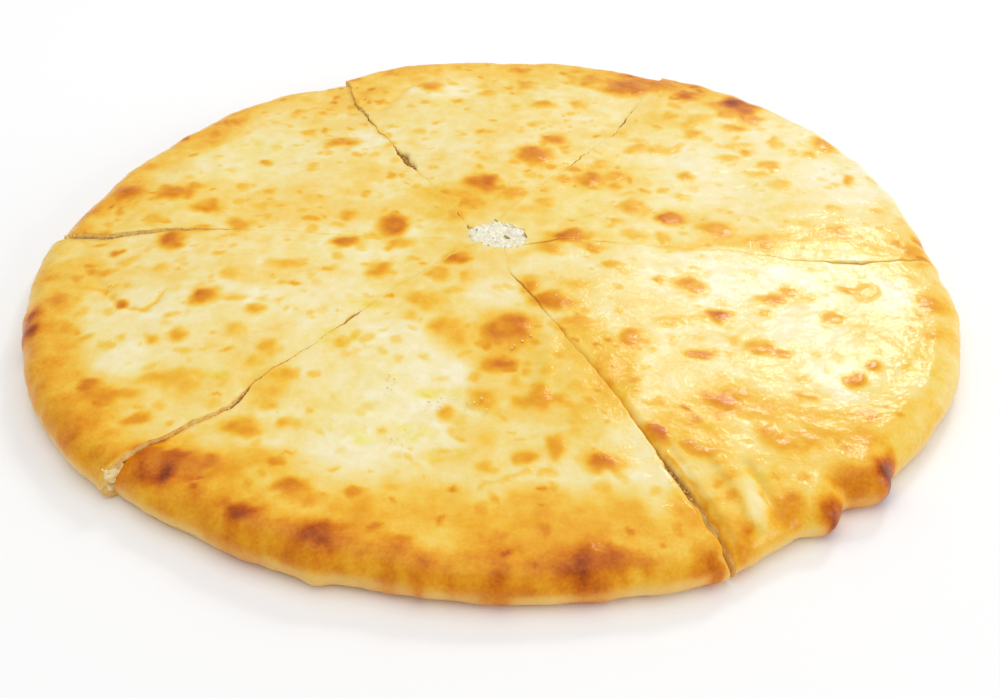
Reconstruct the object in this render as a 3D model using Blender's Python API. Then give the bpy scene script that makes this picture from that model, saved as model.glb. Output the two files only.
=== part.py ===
"""A round khachapuri, cut in six slices that still lie together.

Each slice is two solids. Its crust is one folded sheet of dough: a flat base, a rounded rim and
a top that stops at the tear in the middle of the bread. Its filling is a wedge of curd cheese,
which runs from the rim to the middle, shows at both cut sides and heaps up into the tear.

Metres, +Z up. The origin is the middle of the bread's footprint, on its flat underside.
"""

import math
from dataclasses import dataclass

import bmesh
import bpy
from mathutils import Vector

COLLECTION_NAME = "khachapuri"

# Where the cuts meet, which is a little off the middle of the footprint.
HUB = Vector((0.00427, 0.00397, 0.0))

# The section of a plain slice, through its middle.
PLAIN_RADIUS = 0.160
PLAIN_TEAR = 0.012
SLICE_TIP = 0.0028
DOUGH_THICKNESS = 0.0028
MIDDLE_HEIGHT = 0.0172
SHOULDER_HEIGHT = 0.0140
NOSE_HEIGHT = 0.0056
NOSE_DEPTH_BELOW = 0.0050
NOSE_DEPTH_ABOVE = 0.0100
SOLID_RIM = 0.0095
POCKET_DEPTH = 0.0045
FIT_GAP = 0.0005
HEAP_HEIGHT = 0.0168
HEAP_CLEARANCE = 0.0010
HEAP_EDGE_DROP = 0.0012

# How finely the section and its sweep are divided.
SHEET_STEPS = 5
HUB_STEPS = 1
NOSE_STEPS_BELOW = 3
NOSE_STEPS_ABOVE = 4
POCKET_STEPS = 2
SWEEP_STEPS = 14
SWEEP_ANGLE = math.radians(60.0)

# From this distance in, the rim keeps its own width and the sheet inside it stretches.
RIM_BAND = 0.018
# Beyond this share of the radius a slice's corners start to rise or droop.
LEVEL_SHARE = 0.50

# Long shallow waves of the soft top: (wavelength, heading in degrees, phase in turns, height).
TOP_WAVES = (
    (0.120, 20.0, 0.10, 0.0006),
    (0.094, 105.0, 0.45, 0.0004),
)

CRUST_COLOUR = (0.87, 0.60, 0.22, 1.0)
CHEESE_COLOUR = (0.92, 0.87, 0.70, 1.0)
CRUST_ROUGHNESS = 0.45
CHEESE_ROUGHNESS = 0.60
SHARP_ANGLE = math.radians(35.0)


@dataclass(frozen=True)
class Cut:
    """A knife cut from the hub to the rim, with its opening at both ends.

    Its path is a list of pairs: a distance from the hub and the cut's heading there in degrees,
    counter-clockwise from +X.
    """

    headings: tuple
    gap_at_hub: float
    gap_at_rim: float

    def heading(self, distance):
        """Heading in radians; between two given distances the cut is a straight line."""
        index = 0
        while index < len(self.headings) - 2 and distance > self.headings[index + 1][0]:
            index += 1
        (near, start), (far, end) = self.headings[index:index + 2]
        share = (1.0 / near - 1.0 / distance) / (1.0 / near - 1.0 / far)
        return math.radians(start + (end - start) * max(0.0, share))

    def half_gap(self, distance):
        """Half of the opening at a distance from the hub."""
        share = min(1.0, distance / PLAIN_RADIUS)
        return 0.5 * (self.gap_at_hub + (self.gap_at_rim - self.gap_at_hub) * share ** 2)


@dataclass(frozen=True)
class Slice:
    """One slice, from its first cut round to its second, counter-clockwise from above.

    The lists are evenly spaced across the slice: the rim's radius, the height of the rim as a
    share of the plain height, and the distance from the hub at which the top dough stops.
    """

    name: str
    first_cut: Cut
    second_cut: Cut
    radii: tuple
    rim_heights: tuple
    tear: tuple


@dataclass(frozen=True)
class Lump:
    """A swelling of the rim: its heading and half width in degrees, its reach and its rise."""

    heading: float
    half_width: float
    reach: float
    rise: float


CUT_BACK = Cut(((0.0025, 120), (0.013, 152), (0.026, 131), (0.048, 125.5), (0.100, 121.8),
                (0.140, 119.8)), 0.0007, 0.0014)
CUT_BACK_RIGHT = Cut(((0.0025, 68), (0.009, 95), (0.020, 76.5), (0.035, 66.5), (0.055, 61.5),
                      (0.092, 58.6), (0.125, 60.6), (0.150, 61.0)), 0.0007, 0.0010)
CUT_RIGHT = Cut(((0.0025, -8), (0.010, -43), (0.015, -20), (0.022, -7), (0.085, -5.7),
                 (0.108, -7.0), (0.130, -6.3), (0.150, -4.2)), 0.0007, 0.0012)
CUT_FRONT = Cut(((0.0025, -68), (0.012, -80), (0.024, -80), (0.038, -72.7), (0.058, -69.8),
                 (0.086, -67.4), (0.120, -66.9), (0.145, -66.4), (0.163, -66.4)), 0.0008, 0.0022)
CUT_LEFT_FRONT = Cut(((0.0025, 232), (0.015, 211), (0.027, 216.5), (0.047, 219.5), (0.071, 223.7),
                      (0.089, 225.5), (0.109, 225.2), (0.124, 227.2), (0.150, 225.2),
                      (0.163, 224.6)), 0.0007, 0.0022)
CUT_LEFT = Cut(((0.0025, 176), (0.011, 182), (0.036, 179.5), (0.055, 177.6), (0.078, 175.7),
                (0.126, 177.0), (0.147, 178.2), (0.160, 177.6)), 0.0007, 0.0012)


def turned_on(cut):
    """The same cut with its headings a full turn further round."""
    return Cut(tuple((distance, heading + 360) for distance, heading in cut.headings),
               cut.gap_at_hub, cut.gap_at_rim)


SLICES = (
    Slice("right_back", CUT_RIGHT, CUT_BACK_RIGHT,
          (0.1590, 0.1574, 0.1588, 0.1592, 0.1575, 0.1563, 0.1548),
          (1.00, 1.00, 1.00), (0.0142, 0.0210, 0.0130, 0.0095, 0.0085, 0.0078, 0.0092)),
    Slice("back", CUT_BACK_RIGHT, CUT_BACK,
          (0.1525, 0.1525, 0.1540, 0.1510, 0.1518, 0.1512, 0.1490),
          (0.98, 1.00, 1.05), (0.0092, 0.0100, 0.0125)),
    Slice("left_back", CUT_BACK, CUT_LEFT,
          (0.1472, 0.1535, 0.1563, 0.1560, 0.1576, 0.1602, 0.1640),
          (0.93, 1.00, 1.02), (0.0128, 0.0149, 0.0120)),
    Slice("left", CUT_LEFT, CUT_LEFT_FRONT,
          (0.1680, 0.1690, 0.1698, 0.1705, 0.1708, 0.1693, 0.1680),
          (0.85, 1.00, 1.06), (0.0120, 0.0109, 0.0090)),
    Slice("front", CUT_LEFT_FRONT, turned_on(CUT_FRONT),
          (0.1645, 0.1624, 0.1603, 0.1590, 0.1603, 0.1612, 0.1640),
          (0.85, 1.00, 0.96), (0.0085, 0.0073, 0.0088)),
    Slice("right_front", CUT_FRONT, CUT_RIGHT,
          (0.1632, 0.1622, 0.1626, 0.1648, 0.1656, 0.1634, 0.1602),
          (1.00, 1.00, 0.98), (0.0090, 0.0129, 0.0142)),
)

LUMPS = (
    Lump(306.0, 4.0, 0.0042, 0.0010),
    Lump(313.5, 4.0, 0.0046, 0.0016),
    Lump(251.0, 2.5, 0.0016, 0.0),
)


def smooth_step(value):
    """An eased rise from 0 to 1."""
    value = min(1.0, max(0.0, value))
    return value * value * (3.0 - 2.0 * value)


def along(values, share):
    """A value on the smooth curve through evenly spaced values."""
    place = min(1.0, max(0.0, share)) * (len(values) - 1)
    index = min(int(place), len(values) - 2)
    step = place - index
    before = values[max(index - 1, 0)]
    start = values[index]
    end = values[index + 1]
    after = values[min(index + 2, len(values) - 1)]
    start_slope = 0.5 * (end - before)
    end_slope = 0.5 * (after - start)
    return (start * (1 + 2 * step) * (1 - step) ** 2 + start_slope * step * (1 - step) ** 2
            + end * step ** 2 * (3 - 2 * step) - end_slope * step ** 2 * (1 - step))


def even_steps(start, end, steps):
    """Evenly spaced values from start to end, both included."""
    return [start + (end - start) * step / steps for step in range(steps + 1)]


def quarter(middle, across, up, first_turn, steps):
    """Points of a quarter ellipse about a middle (distance, height), counter-clockwise."""
    points = []
    for turn in even_steps(first_turn, first_turn + 0.5 * math.pi, steps):
        points.append((middle[0] + across * math.cos(turn), middle[1] + up * math.sin(turn)))
    return points


def top_height(distance):
    """Height of the plain slice's top at a distance from the hub."""
    share = min(1.0, distance / (PLAIN_RADIUS - NOSE_DEPTH_ABOVE))
    return MIDDLE_HEIGHT - (MIDDLE_HEIGHT - SHOULDER_HEIGHT) * share ** 2


def sheet_distances():
    """Distances at which the sheets are divided, from the tear out to the solid rim."""
    return even_steps(PLAIN_TEAR, PLAIN_RADIUS - RIM_BAND, SHEET_STEPS)


def hub_distances():
    """Distances at which the middle is divided, from the slice's tip out to the tear."""
    return even_steps(SLICE_TIP, PLAIN_TEAR, HUB_STEPS)


def floor_distances():
    """Distances at which the floor of a slice is divided, from its tip to the solid rim."""
    return hub_distances()[:-1] + sheet_distances()


def ladder(lower, upper):
    """Cells between two rows of points that lie one above the other."""
    cells = []
    for index in range(len(lower) - 1):
        cells.append([lower[index], lower[index + 1], upper[index + 1], upper[index]])
    return cells


def crust_section():
    """The folded dough's section: cells of (distance, height) points."""
    below = quarter((PLAIN_RADIUS - NOSE_DEPTH_BELOW, NOSE_HEIGHT), NOSE_DEPTH_BELOW, NOSE_HEIGHT,
                    -0.5 * math.pi, NOSE_STEPS_BELOW)
    shoulder = PLAIN_RADIUS - NOSE_DEPTH_ABOVE
    above = quarter((shoulder, NOSE_HEIGHT), NOSE_DEPTH_ABOVE, top_height(shoulder) - NOSE_HEIGHT,
                    0.0, NOSE_STEPS_ABOVE)
    base = [(distance, 0.0) for distance in floor_distances()]
    base_top = [(distance, DOUGH_THICKNESS) for distance in floor_distances()]
    top = [(distance, top_height(distance)) for distance in sheet_distances()]
    top_under = [(distance, height - DOUGH_THICKNESS) for distance, height in top]
    rim = [base[-1]] + below + above[1:] + [top[-1], top_under[-1]]
    rim += pocket_end(0.0)[::-1] + [base_top[-1]]
    return ladder(base, base_top) + [rim] + ladder(top_under, top)


def pocket_end(clearance):
    """The round end of the filling's pocket, from its floor up to its roof."""
    start = PLAIN_RADIUS - SOLID_RIM - POCKET_DEPTH
    floor = DOUGH_THICKNESS
    roof = top_height(start) - DOUGH_THICKNESS
    middle = (start, 0.5 * (floor + roof))
    reach = POCKET_DEPTH - clearance
    up = 0.5 * (roof - floor) - clearance
    lower = quarter(middle, reach, up, -0.5 * math.pi, POCKET_STEPS)
    upper = quarter(middle, reach, up, 0.0, POCKET_STEPS)
    return lower + upper[1:]


def cheese_section():
    """The filling's section: cells of (distance, height) points."""
    floor_height = DOUGH_THICKNESS + FIT_GAP
    heap_edge = PLAIN_TEAR - HEAP_CLEARANCE
    distances = [heap_edge] + sheet_distances()
    floor = [(distance, floor_height) for distance in distances]
    roof = [(distance, top_height(distance) - DOUGH_THICKNESS - FIT_GAP) for distance in distances]
    end = [floor[-1]] + pocket_end(FIT_GAP) + [roof[-1]]
    heap = [(distance, HEAP_HEIGHT) for distance in hub_distances()[:-1]]
    heap_floor = [(distance, floor_height) for distance in hub_distances()[:-1]]
    heap_side = [heap_floor[-1], floor[0], roof[0], (heap_edge, HEAP_HEIGHT - HEAP_EDGE_DROP),
                 heap[-1]]
    return ladder(heap_floor, heap) + [heap_side] + ladder(floor, roof) + [end]


def stretched(distance, tear, radius):
    """A plain distance from the hub, fitted to a slice's own tear and rim."""
    rim_start = PLAIN_RADIUS - RIM_BAND
    if distance <= PLAIN_TEAR:
        return SLICE_TIP + (distance - SLICE_TIP) * (tear - SLICE_TIP) / (PLAIN_TEAR - SLICE_TIP)
    if distance >= rim_start:
        return radius - PLAIN_RADIUS + distance
    share = (distance - PLAIN_TEAR) / (rim_start - PLAIN_TEAR)
    return tear + (radius - RIM_BAND - tear) * share


def wave_height(point):
    """Rise of the soft top at a place, from its long shallow waves."""
    rise = 0.0
    for wavelength, heading, phase, height in TOP_WAVES:
        turn = math.radians(heading)
        travel = (point.x * math.cos(turn) + point.y * math.sin(turn)) / wavelength
        rise += height * math.sin(2.0 * math.pi * (travel + phase))
    return rise


def lump_share(lump, heading):
    """How fully a heading in radians lies on a lump, from 0 at its foot to 1 at its middle."""
    apart = math.degrees(heading) - lump.heading
    apart = (apart + 180.0) % 360.0 - 180.0
    return smooth_step(1.0 - abs(apart) / lump.half_width)


def placed(piece, plain):
    """Moves a point of the plain slice to its place in a slice.

    The plain slice is swept from the +X axis through SWEEP_ANGLE, so its angle says how far
    the point lies between the slice's two cuts.
    """
    plain_distance = math.hypot(plain.x, plain.y)
    across = math.atan2(plain.y, plain.x) / SWEEP_ANGLE
    distance = stretched(plain_distance, along(piece.tear, across), along(piece.radii, across))
    start = piece.first_cut.heading(distance) + piece.first_cut.half_gap(distance) / distance
    end = piece.second_cut.heading(distance) - piece.second_cut.half_gap(distance) / distance
    heading = start + (end - start) * across

    outward = smooth_step((plain_distance / PLAIN_RADIUS - LEVEL_SHARE) / (1.0 - LEVEL_SHARE))
    height = plain.z * (1.0 + (along(piece.rim_heights, across) - 1.0) * outward)
    nearness = smooth_step((plain_distance - PLAIN_RADIUS + RIM_BAND) / RIM_BAND)
    lift = plain.z / SHOULDER_HEIGHT
    for lump in LUMPS:
        share = lump_share(lump, heading) * nearness
        distance += lump.reach * share
        height += lump.rise * share * lift

    point = HUB + Vector((distance * math.cos(heading), distance * math.sin(heading), height))
    point.z += wave_height(point) * lift * min(1.0, plain_distance / PLAIN_TEAR)
    return point


def swept_solid(section):
    """A closed mesh from a section's cells swept round the hub's axis."""
    solid = bmesh.new()
    corners = {}
    for cell in section:
        for distance, height in cell:
            if (distance, height) not in corners:
                corners[distance, height] = solid.verts.new((distance, 0.0, height))
        solid.faces.new([corners[point] for point in cell])
    bmesh.ops.spin(solid, geom=list(solid.verts) + list(solid.edges) + list(solid.faces),
                   cent=(0.0, 0.0, 0.0), axis=(0.0, 0.0, 1.0), angle=SWEEP_ANGLE,
                   steps=SWEEP_STEPS, use_merge=False, use_duplicate=False)
    bmesh.ops.recalc_face_normals(solid, faces=solid.faces)
    return solid


def plain_material(name, colour, roughness):
    """A Principled material of one colour."""
    material = bpy.data.materials.new(name)
    material.use_nodes = True
    surface = material.node_tree.nodes["Principled BSDF"]
    surface.inputs["Base Color"].default_value = colour
    surface.inputs["Roughness"].default_value = roughness
    surface.inputs["Metallic"].default_value = 0.0
    return material


def add_piece(name, section, piece, material, collection):
    """Adds one solid of a slice, from its section outline."""
    solid = swept_solid(section)
    for vertex in solid.verts:
        vertex.co = placed(piece, vertex.co)
    mesh = bpy.data.meshes.new(name)
    solid.to_mesh(mesh)
    solid.free()
    mesh.materials.append(material)
    mesh.shade_smooth()
    mesh.set_sharp_from_angle(angle=SHARP_ANGLE)
    collection.objects.link(bpy.data.objects.new(name, mesh))


def main():
    """Builds every slice's crust and filling."""
    for existing in list(bpy.data.objects):
        bpy.data.objects.remove(existing, do_unlink=True)
    collection = bpy.data.collections.new(COLLECTION_NAME)
    bpy.context.scene.collection.children.link(collection)
    for piece in SLICES:
        crust = plain_material(f"crust_{piece.name}", CRUST_COLOUR, CRUST_ROUGHNESS)
        cheese = plain_material(f"cheese_{piece.name}", CHEESE_COLOUR, CHEESE_ROUGHNESS)
        add_piece(f"crust_{piece.name}", crust_section(), piece, crust, collection)
        add_piece(f"cheese_{piece.name}", cheese_section(), piece, cheese, collection)


main()
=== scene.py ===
"""The looks of a round khachapuri, cut in six slices that still lie together.

Each slice has a crust, one folded sheet of buttered dough that has blistered and browned in the
oven, and a filling of white curd cheese that shows at the cuts and in the torn middle. Curds,
herb flecks, crumbs, torn flakes and beads of butter lie on them.

Metres, +Z up. The origin is the middle of the bread's footprint, on its flat underside. Lists of
places on the bread are in millimetres from the hub and degrees counter-clockwise from +X.
"""

import logging
import math
from dataclasses import dataclass, field
from enum import Enum

import bpy
import numpy as np
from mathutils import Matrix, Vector


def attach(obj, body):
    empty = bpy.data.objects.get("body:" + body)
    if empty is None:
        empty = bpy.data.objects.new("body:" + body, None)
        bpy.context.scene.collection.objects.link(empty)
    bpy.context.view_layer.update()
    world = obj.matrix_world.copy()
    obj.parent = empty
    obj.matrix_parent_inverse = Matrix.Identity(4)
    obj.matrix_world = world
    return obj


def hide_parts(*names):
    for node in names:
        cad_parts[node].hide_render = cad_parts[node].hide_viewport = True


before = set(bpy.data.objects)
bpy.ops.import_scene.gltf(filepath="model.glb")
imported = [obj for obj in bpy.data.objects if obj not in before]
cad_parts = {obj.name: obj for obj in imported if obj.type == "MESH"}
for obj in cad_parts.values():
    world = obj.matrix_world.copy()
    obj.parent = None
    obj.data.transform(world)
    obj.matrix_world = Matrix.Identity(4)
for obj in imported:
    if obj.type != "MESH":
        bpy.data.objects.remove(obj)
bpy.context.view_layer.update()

logging.basicConfig(level=logging.INFO, format="%(message)s")
LOG = logging.getLogger("khachapuri")

MM = 0.001
BODY = "root"

# Where the cuts meet, which is a little off the middle of the footprint.
HUB = (0.00427, 0.00397)

# The section of a plain slice, through its middle, as in the solids.
PLAIN_RADIUS = 0.160
PLAIN_TEAR = 0.012
SLICE_TIP = 0.0028
DOUGH_THICKNESS = 0.0028
MIDDLE_HEIGHT = 0.0172
SHOULDER_HEIGHT = 0.0140
NOSE_HEIGHT = 0.0056
NOSE_DEPTH_BELOW = 0.0050
NOSE_DEPTH_ABOVE = 0.0100
SOLID_RIM = 0.0095
POCKET_DEPTH = 0.0045
FIT_GAP = 0.0005
HEAP_HEIGHT = 0.0164
RIM_BAND = 0.018
LEVEL_SHARE = 0.50
TOP_WAVES = (
    # Wavelength, the way the wave runs in degrees, phase in turns, rise.
    (0.120, 20.0, 0.10, 0.0006),
    (0.094, 105.0, 0.45, 0.0004),
)

# The torn lip of the top dough is thinner than the dough, and the heap's tips nearly meet.
LIP_THICKNESS = 0.0007
LIP_WIDTH = 0.0060
HEAP_TIP = 0.0005
HEAP_SET_BACK = 0.0004
HEAP_SHOULDER_OUT = 0.0008
HEAP_SHOULDER_DROP = 0.0014
RAGGED_TEAR = 0.0007
RAGGED_RIM = 0.0004

# How finely the pieces are divided, as distances on the bread.
TOP_STEP = 0.0010
BASE_STEP = 0.0060
SWEEP_STEP = 0.00085
UNDER_GROUP = 5
RIM_GIRTH = 0.044
RIM_TOP_STEP = 0.002
QUARTER_POINTS = 24
HEAP_STEPS = 12
ROOF_STEP = 0.004
POCKET_STEPS = 12
FILLING_SWEEP_STEP = 0.0016
EDGE_PULL = 0.70
SHARP_ANGLE = 50.0
CLOSED_EDGE = 0.00005
OPEN_EDGE_SHARE = 0.8

# A gap of this width or more stays open all along; the slices touch where it is narrower than
# the width of two touching edges, and stay this little apart there.
WIDE_GAP = 0.0012
TOUCHING_EDGES = 0.00014
TOUCHING_GAP = 0.00001

# How far the painted shade along a cut reaches and how brown it is: a thin brown line painted
# beside each cut, standing for the shade in the gap. The cut is fully open down to one depth,
# then narrows over another to a share of its gap, as the soft slices have sunk together.
CUT_SHADE_WIDTH = 0.0014
CUT_SHADE_BAKE = 0.36
CUT_SHADE_CELL = 0.006
OPEN_DEPTH = 0.0020
NOTCH_DEPTH = 0.0045
CRUST_DEEP_GAP = 0.35
CHEESE_DEEP_GAP = 0.10


class Bake(Enum):
    """How far the oven has browned a blister, from 0 for raw to 1 for burnt."""

    PALE = 0.42
    GOLDEN = 0.51
    AMBER = 0.60
    DEEP = 0.70
    BURNT = 0.85
    CHARRED = 0.95


def eased(value: np.ndarray) -> np.ndarray:
    """An eased rise from 0 to 1."""
    value = np.clip(value, 0.0, 1.0)
    return value * value * (3.0 - 2.0 * value)


def along(values: tuple, share: np.ndarray) -> np.ndarray:
    """Values on the smooth curve through an evenly spaced list.

    Args:
        values: The list, evenly spaced from share 0 to share 1.
        share: The places along it.

    Returns:
        The curve's value at each place.
    """
    known = np.asarray(values, float)
    place = np.clip(share, 0.0, 1.0) * (len(known) - 1)
    index = np.minimum(place.astype(int), len(known) - 2)
    step = place - index
    before = known[np.maximum(index - 1, 0)]
    start = known[index]
    end = known[index + 1]
    after = known[np.minimum(index + 2, len(known) - 1)]
    start_slope = 0.5 * (end - before)
    end_slope = 0.5 * (after - start)
    return (start * (1 + 2 * step) * (1 - step) ** 2 + start_slope * step * (1 - step) ** 2
            + end * step ** 2 * (3 - 2 * step) - end_slope * step ** 2 * (1 - step))


@dataclass(frozen=True)
class SoftNoise:
    """Smooth random ups and downs between -1 and 1, the same on every run."""

    cell: float
    seed: int
    size: int = 64

    def at(self, east: np.ndarray, north: np.ndarray) -> np.ndarray:
        """The noise at places given in metres."""
        table = np.random.default_rng(self.seed).uniform(-1.0, 1.0, (self.size, self.size))
        across, up = np.asarray(east) / self.cell, np.asarray(north) / self.cell
        column, row = np.floor(across).astype(int), np.floor(up).astype(int)
        right, high = eased(across - column), eased(up - row)
        column, row = column % self.size, row % self.size
        next_column, next_row = (column + 1) % self.size, (row + 1) % self.size
        low_side = table[column, row] * (1 - right) + table[next_column, row] * right
        high_side = table[column, next_row] * (1 - right) + table[next_column, next_row] * right
        return low_side * (1 - high) + high_side * high


def layered(layers: tuple, east: np.ndarray, north: np.ndarray) -> np.ndarray:
    """The sum of layers of soft noise, each given as its cell, its height and its seed."""
    return sum(height * SoftNoise(cell, seed).at(east, north) for cell, height, seed in layers)


def spot(distance: float, heading: float) -> tuple[float, float]:
    """East and north in metres of a place given in millimetres from the hub and degrees."""
    turn = math.radians(heading)
    return HUB[0] + distance * MM * math.cos(turn), HUB[1] + distance * MM * math.sin(turn)


@dataclass(frozen=True)
class Patch:
    """An oval patch of the top: its middle, width and depth in metres, and how brown it is."""

    east: float
    north: float
    width: float
    depth: float
    bake: float = 0.0

    def away(self, east: np.ndarray, north: np.ndarray) -> np.ndarray:
        """How far places are from its middle, as a share of its half width and half depth."""
        return np.hypot((east - self.east) / (0.5 * self.width),
                        (north - self.north) / (0.5 * self.depth))


def patch(distance: float, heading: float, width: float, depth: float,
          bake: float = 0.0) -> Patch:
    """A patch from its place and its size in millimetres and degrees."""
    return Patch(*spot(distance, heading), width * MM, depth * MM, bake)


def blended(brown: np.ndarray, patches: list[Patch], places: tuple, reach: float,
            strength: float) -> np.ndarray:
    """The browning with patches laid over it, one after another.

    Args:
        brown: The browning of each place.
        patches: The patches.
        places: East and north of each place.
        reach: How far a patch reaches, as a share of its half size.
        strength: How much of what lies under a patch it covers.

    Returns:
        The new browning.
    """
    for each in patches:
        share = strength * eased(reach - each.away(*places))
        brown = brown + (each.bake - brown) * share
    return brown


@dataclass(frozen=True)
class Cut:
    """A knife cut from the hub to the rim.

    Its headings are pairs of a distance and the cut's heading there in degrees. Its openings are
    pairs of a distance and the width of the gap that shows there. Its jag is how far the torn
    edge strays to either side.
    """

    headings: tuple
    openings: tuple
    jag: float
    seed: int

    CLOSING_CELL = 0.0045
    CLOSING_NOISE = 1.1
    CLOSED_SHARE = 0.95
    STRAYS = ((0.0035, 1.0, 0), (0.0014, 0.6, 1))
    STRAIGHT_START = 0.030
    RAGGED_CELL = 0.0022
    RAGGED_SHARE = 0.35

    def heading(self, distance: np.ndarray) -> np.ndarray:
        """Heading in radians; between two given distances the cut is a straight line."""
        known = np.array(self.headings)
        return np.radians(np.interp(-1.0 / distance, -1.0 / known[:, 0], known[:, 1]))

    def opening(self, distance: np.ndarray) -> np.ndarray:
        """Width of the gap, which closes here and there where it is narrow."""
        known = np.array(self.openings)
        width = np.interp(distance, known[:, 0], known[:, 1])
        noise = SoftNoise(self.CLOSING_CELL, self.seed + 7).at(distance, np.zeros_like(distance))
        closed = eased(0.5 + self.CLOSING_NOISE * noise)
        closed *= self.CLOSED_SHARE * np.clip(1.0 - width / WIDE_GAP, 0.0, 1.0)
        return np.maximum(TOUCHING_GAP, width * (1.0 - closed) - TOUCHING_EDGES)

    def side(self, distance: np.ndarray, sign: int, gap_share: np.ndarray) -> np.ndarray:
        """Heading of one side of the cut.

        Args:
            distance: Distances from the hub.
            sign: 1 for the side that lies counter-clockwise of the cut, -1 for the other.
            gap_share: The share of the gap that is kept.

        Returns:
            The headings in radians.
        """
        half_gap = 0.5 * gap_share * self.opening(distance)
        level = np.zeros_like(distance)
        strays = tuple((cell, share, self.seed + place) for cell, share, place in self.STRAYS)
        stray = layered(strays, distance, level) * self.jag * eased(distance / self.STRAIGHT_START)
        ragged = SoftNoise(self.RAGGED_CELL, self.seed + 2 + sign).at(distance, level)
        ragged *= self.RAGGED_SHARE * half_gap
        return self.heading(distance) + (stray + sign * (half_gap + ragged)) / distance


CUT_BACK = Cut(
    ((0.0025, 120), (0.013, 152), (0.026, 131), (0.048, 125.5), (0.082, 122.8), (0.097, 121.9),
     (0.120, 120.3), (0.139, 118.4), (0.152, 117.3)),
    ((0.003, 0.0002), (0.010, 0.0002), (0.0125, 0.0018), (0.0145, 0.0002), (0.019, 0.0002),
     (0.0215, 0.0008), (0.024, 0.0002), (0.034, 0.0001), (0.056, 0.0001), (0.062, 0.0020),
     (0.070, 0.0024), (0.076, 0.0008),
     (0.082, 0.0002), (0.092, 0.0004), (0.118, 0.0005), (0.134, 0.0002), (0.152, 0.0001)),
    0.0006, 11)
CUT_BACK_RIGHT = Cut(
    ((0.0025, 68), (0.009, 95), (0.020, 76.5), (0.035, 66.5), (0.055, 61.5), (0.092, 58.6),
     (0.125, 60.6), (0.150, 61.0)),
    ((0.003, 0.0003), (0.012, 0.0001), (0.044, 0.0001), (0.050, 0.0004), (0.092, 0.0005),
     (0.116, 0.0006), (0.125, 0.0002), (0.155, 0.0002)), 0.0004, 21)
CUT_RIGHT = Cut(
    ((0.0025, -8), (0.010, -43), (0.015, -20), (0.022, -7), (0.085, -5.7), (0.108, -7.0),
     (0.130, -6.3), (0.150, -4.2), (0.162, -3.2)),
    ((0.003, 0.0004), (0.010, 0.0006), (0.018, 0.0013), (0.024, 0.0004), (0.060, 0.0001),
     (0.112, 0.0001), (0.120, 0.0009), (0.131, 0.0012), (0.136, 0.0003), (0.142, 0.0003),
     (0.149, 0.0006), (0.165, 0.0005)), 0.0003, 31)
CUT_FRONT = Cut(
    ((0.0025, -68), (0.012, -80), (0.024, -80), (0.038, -72.7), (0.058, -69.8), (0.086, -67.4),
     (0.120, -66.9), (0.145, -66.4), (0.163, -66.4)),
    ((0.003, 0.0002), (0.022, 0.0001), (0.029, 0.0009), (0.040, 0.0009), (0.050, 0.0003),
     (0.080, 0.0003), (0.086, 0.0006), (0.092, 0.0003), (0.104, 0.0007), (0.110, 0.0013),
     (0.117, 0.0010), (0.128, 0.0024), (0.145, 0.0032), (0.160, 0.0034), (0.168, 0.0030)),
    0.00025, 41)
CUT_LEFT_FRONT = Cut(
    ((0.0025, 232), (0.015, 211), (0.027, 216.5), (0.047, 219.5), (0.071, 223.7), (0.089, 225.5),
     (0.109, 225.2), (0.124, 227.2), (0.150, 225.2), (0.163, 224.6), (0.168, 224.4)),
    ((0.003, 0.0001), (0.062, 0.0001), (0.067, 0.0011), (0.072, 0.0010), (0.077, 0.0003),
     (0.100, 0.0002), (0.114, 0.0002), (0.118, 0.0013), (0.123, 0.0010), (0.128, 0.0001),
     (0.150, 0.0001), (0.160, 0.0004), (0.168, 0.0014)), 0.0005, 51)
CUT_LEFT = Cut(
    ((0.0025, 176), (0.011, 182), (0.036, 179.5), (0.055, 177.6), (0.078, 175.7), (0.126, 177.0),
     (0.147, 178.2), (0.160, 177.6), (0.168, 177.3)),
    ((0.003, 0.0001), (0.060, 0.0001), (0.100, 0.0002), (0.114, 0.0004), (0.145, 0.0007),
     (0.168, 0.0010)), 0.00025, 61)


def turned_on(cut: Cut) -> Cut:
    """The same cut with its headings a full turn further round."""
    turned = tuple((distance, heading + 360) for distance, heading in cut.headings)
    return Cut(turned, cut.openings, cut.jag, cut.seed)


@dataclass(frozen=True)
class Lump:
    """A swelling of the rim: its heading and half width in degrees, its reach and its rise."""

    heading: float
    half_width: float
    reach: float
    rise: float


LUMPS = (
    Lump(306.0, 4.0, 0.0042, 0.0010),
    Lump(313.5, 4.0, 0.0046, 0.0016),
    Lump(251.0, 2.5, 0.0016, 0.0),
)

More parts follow.
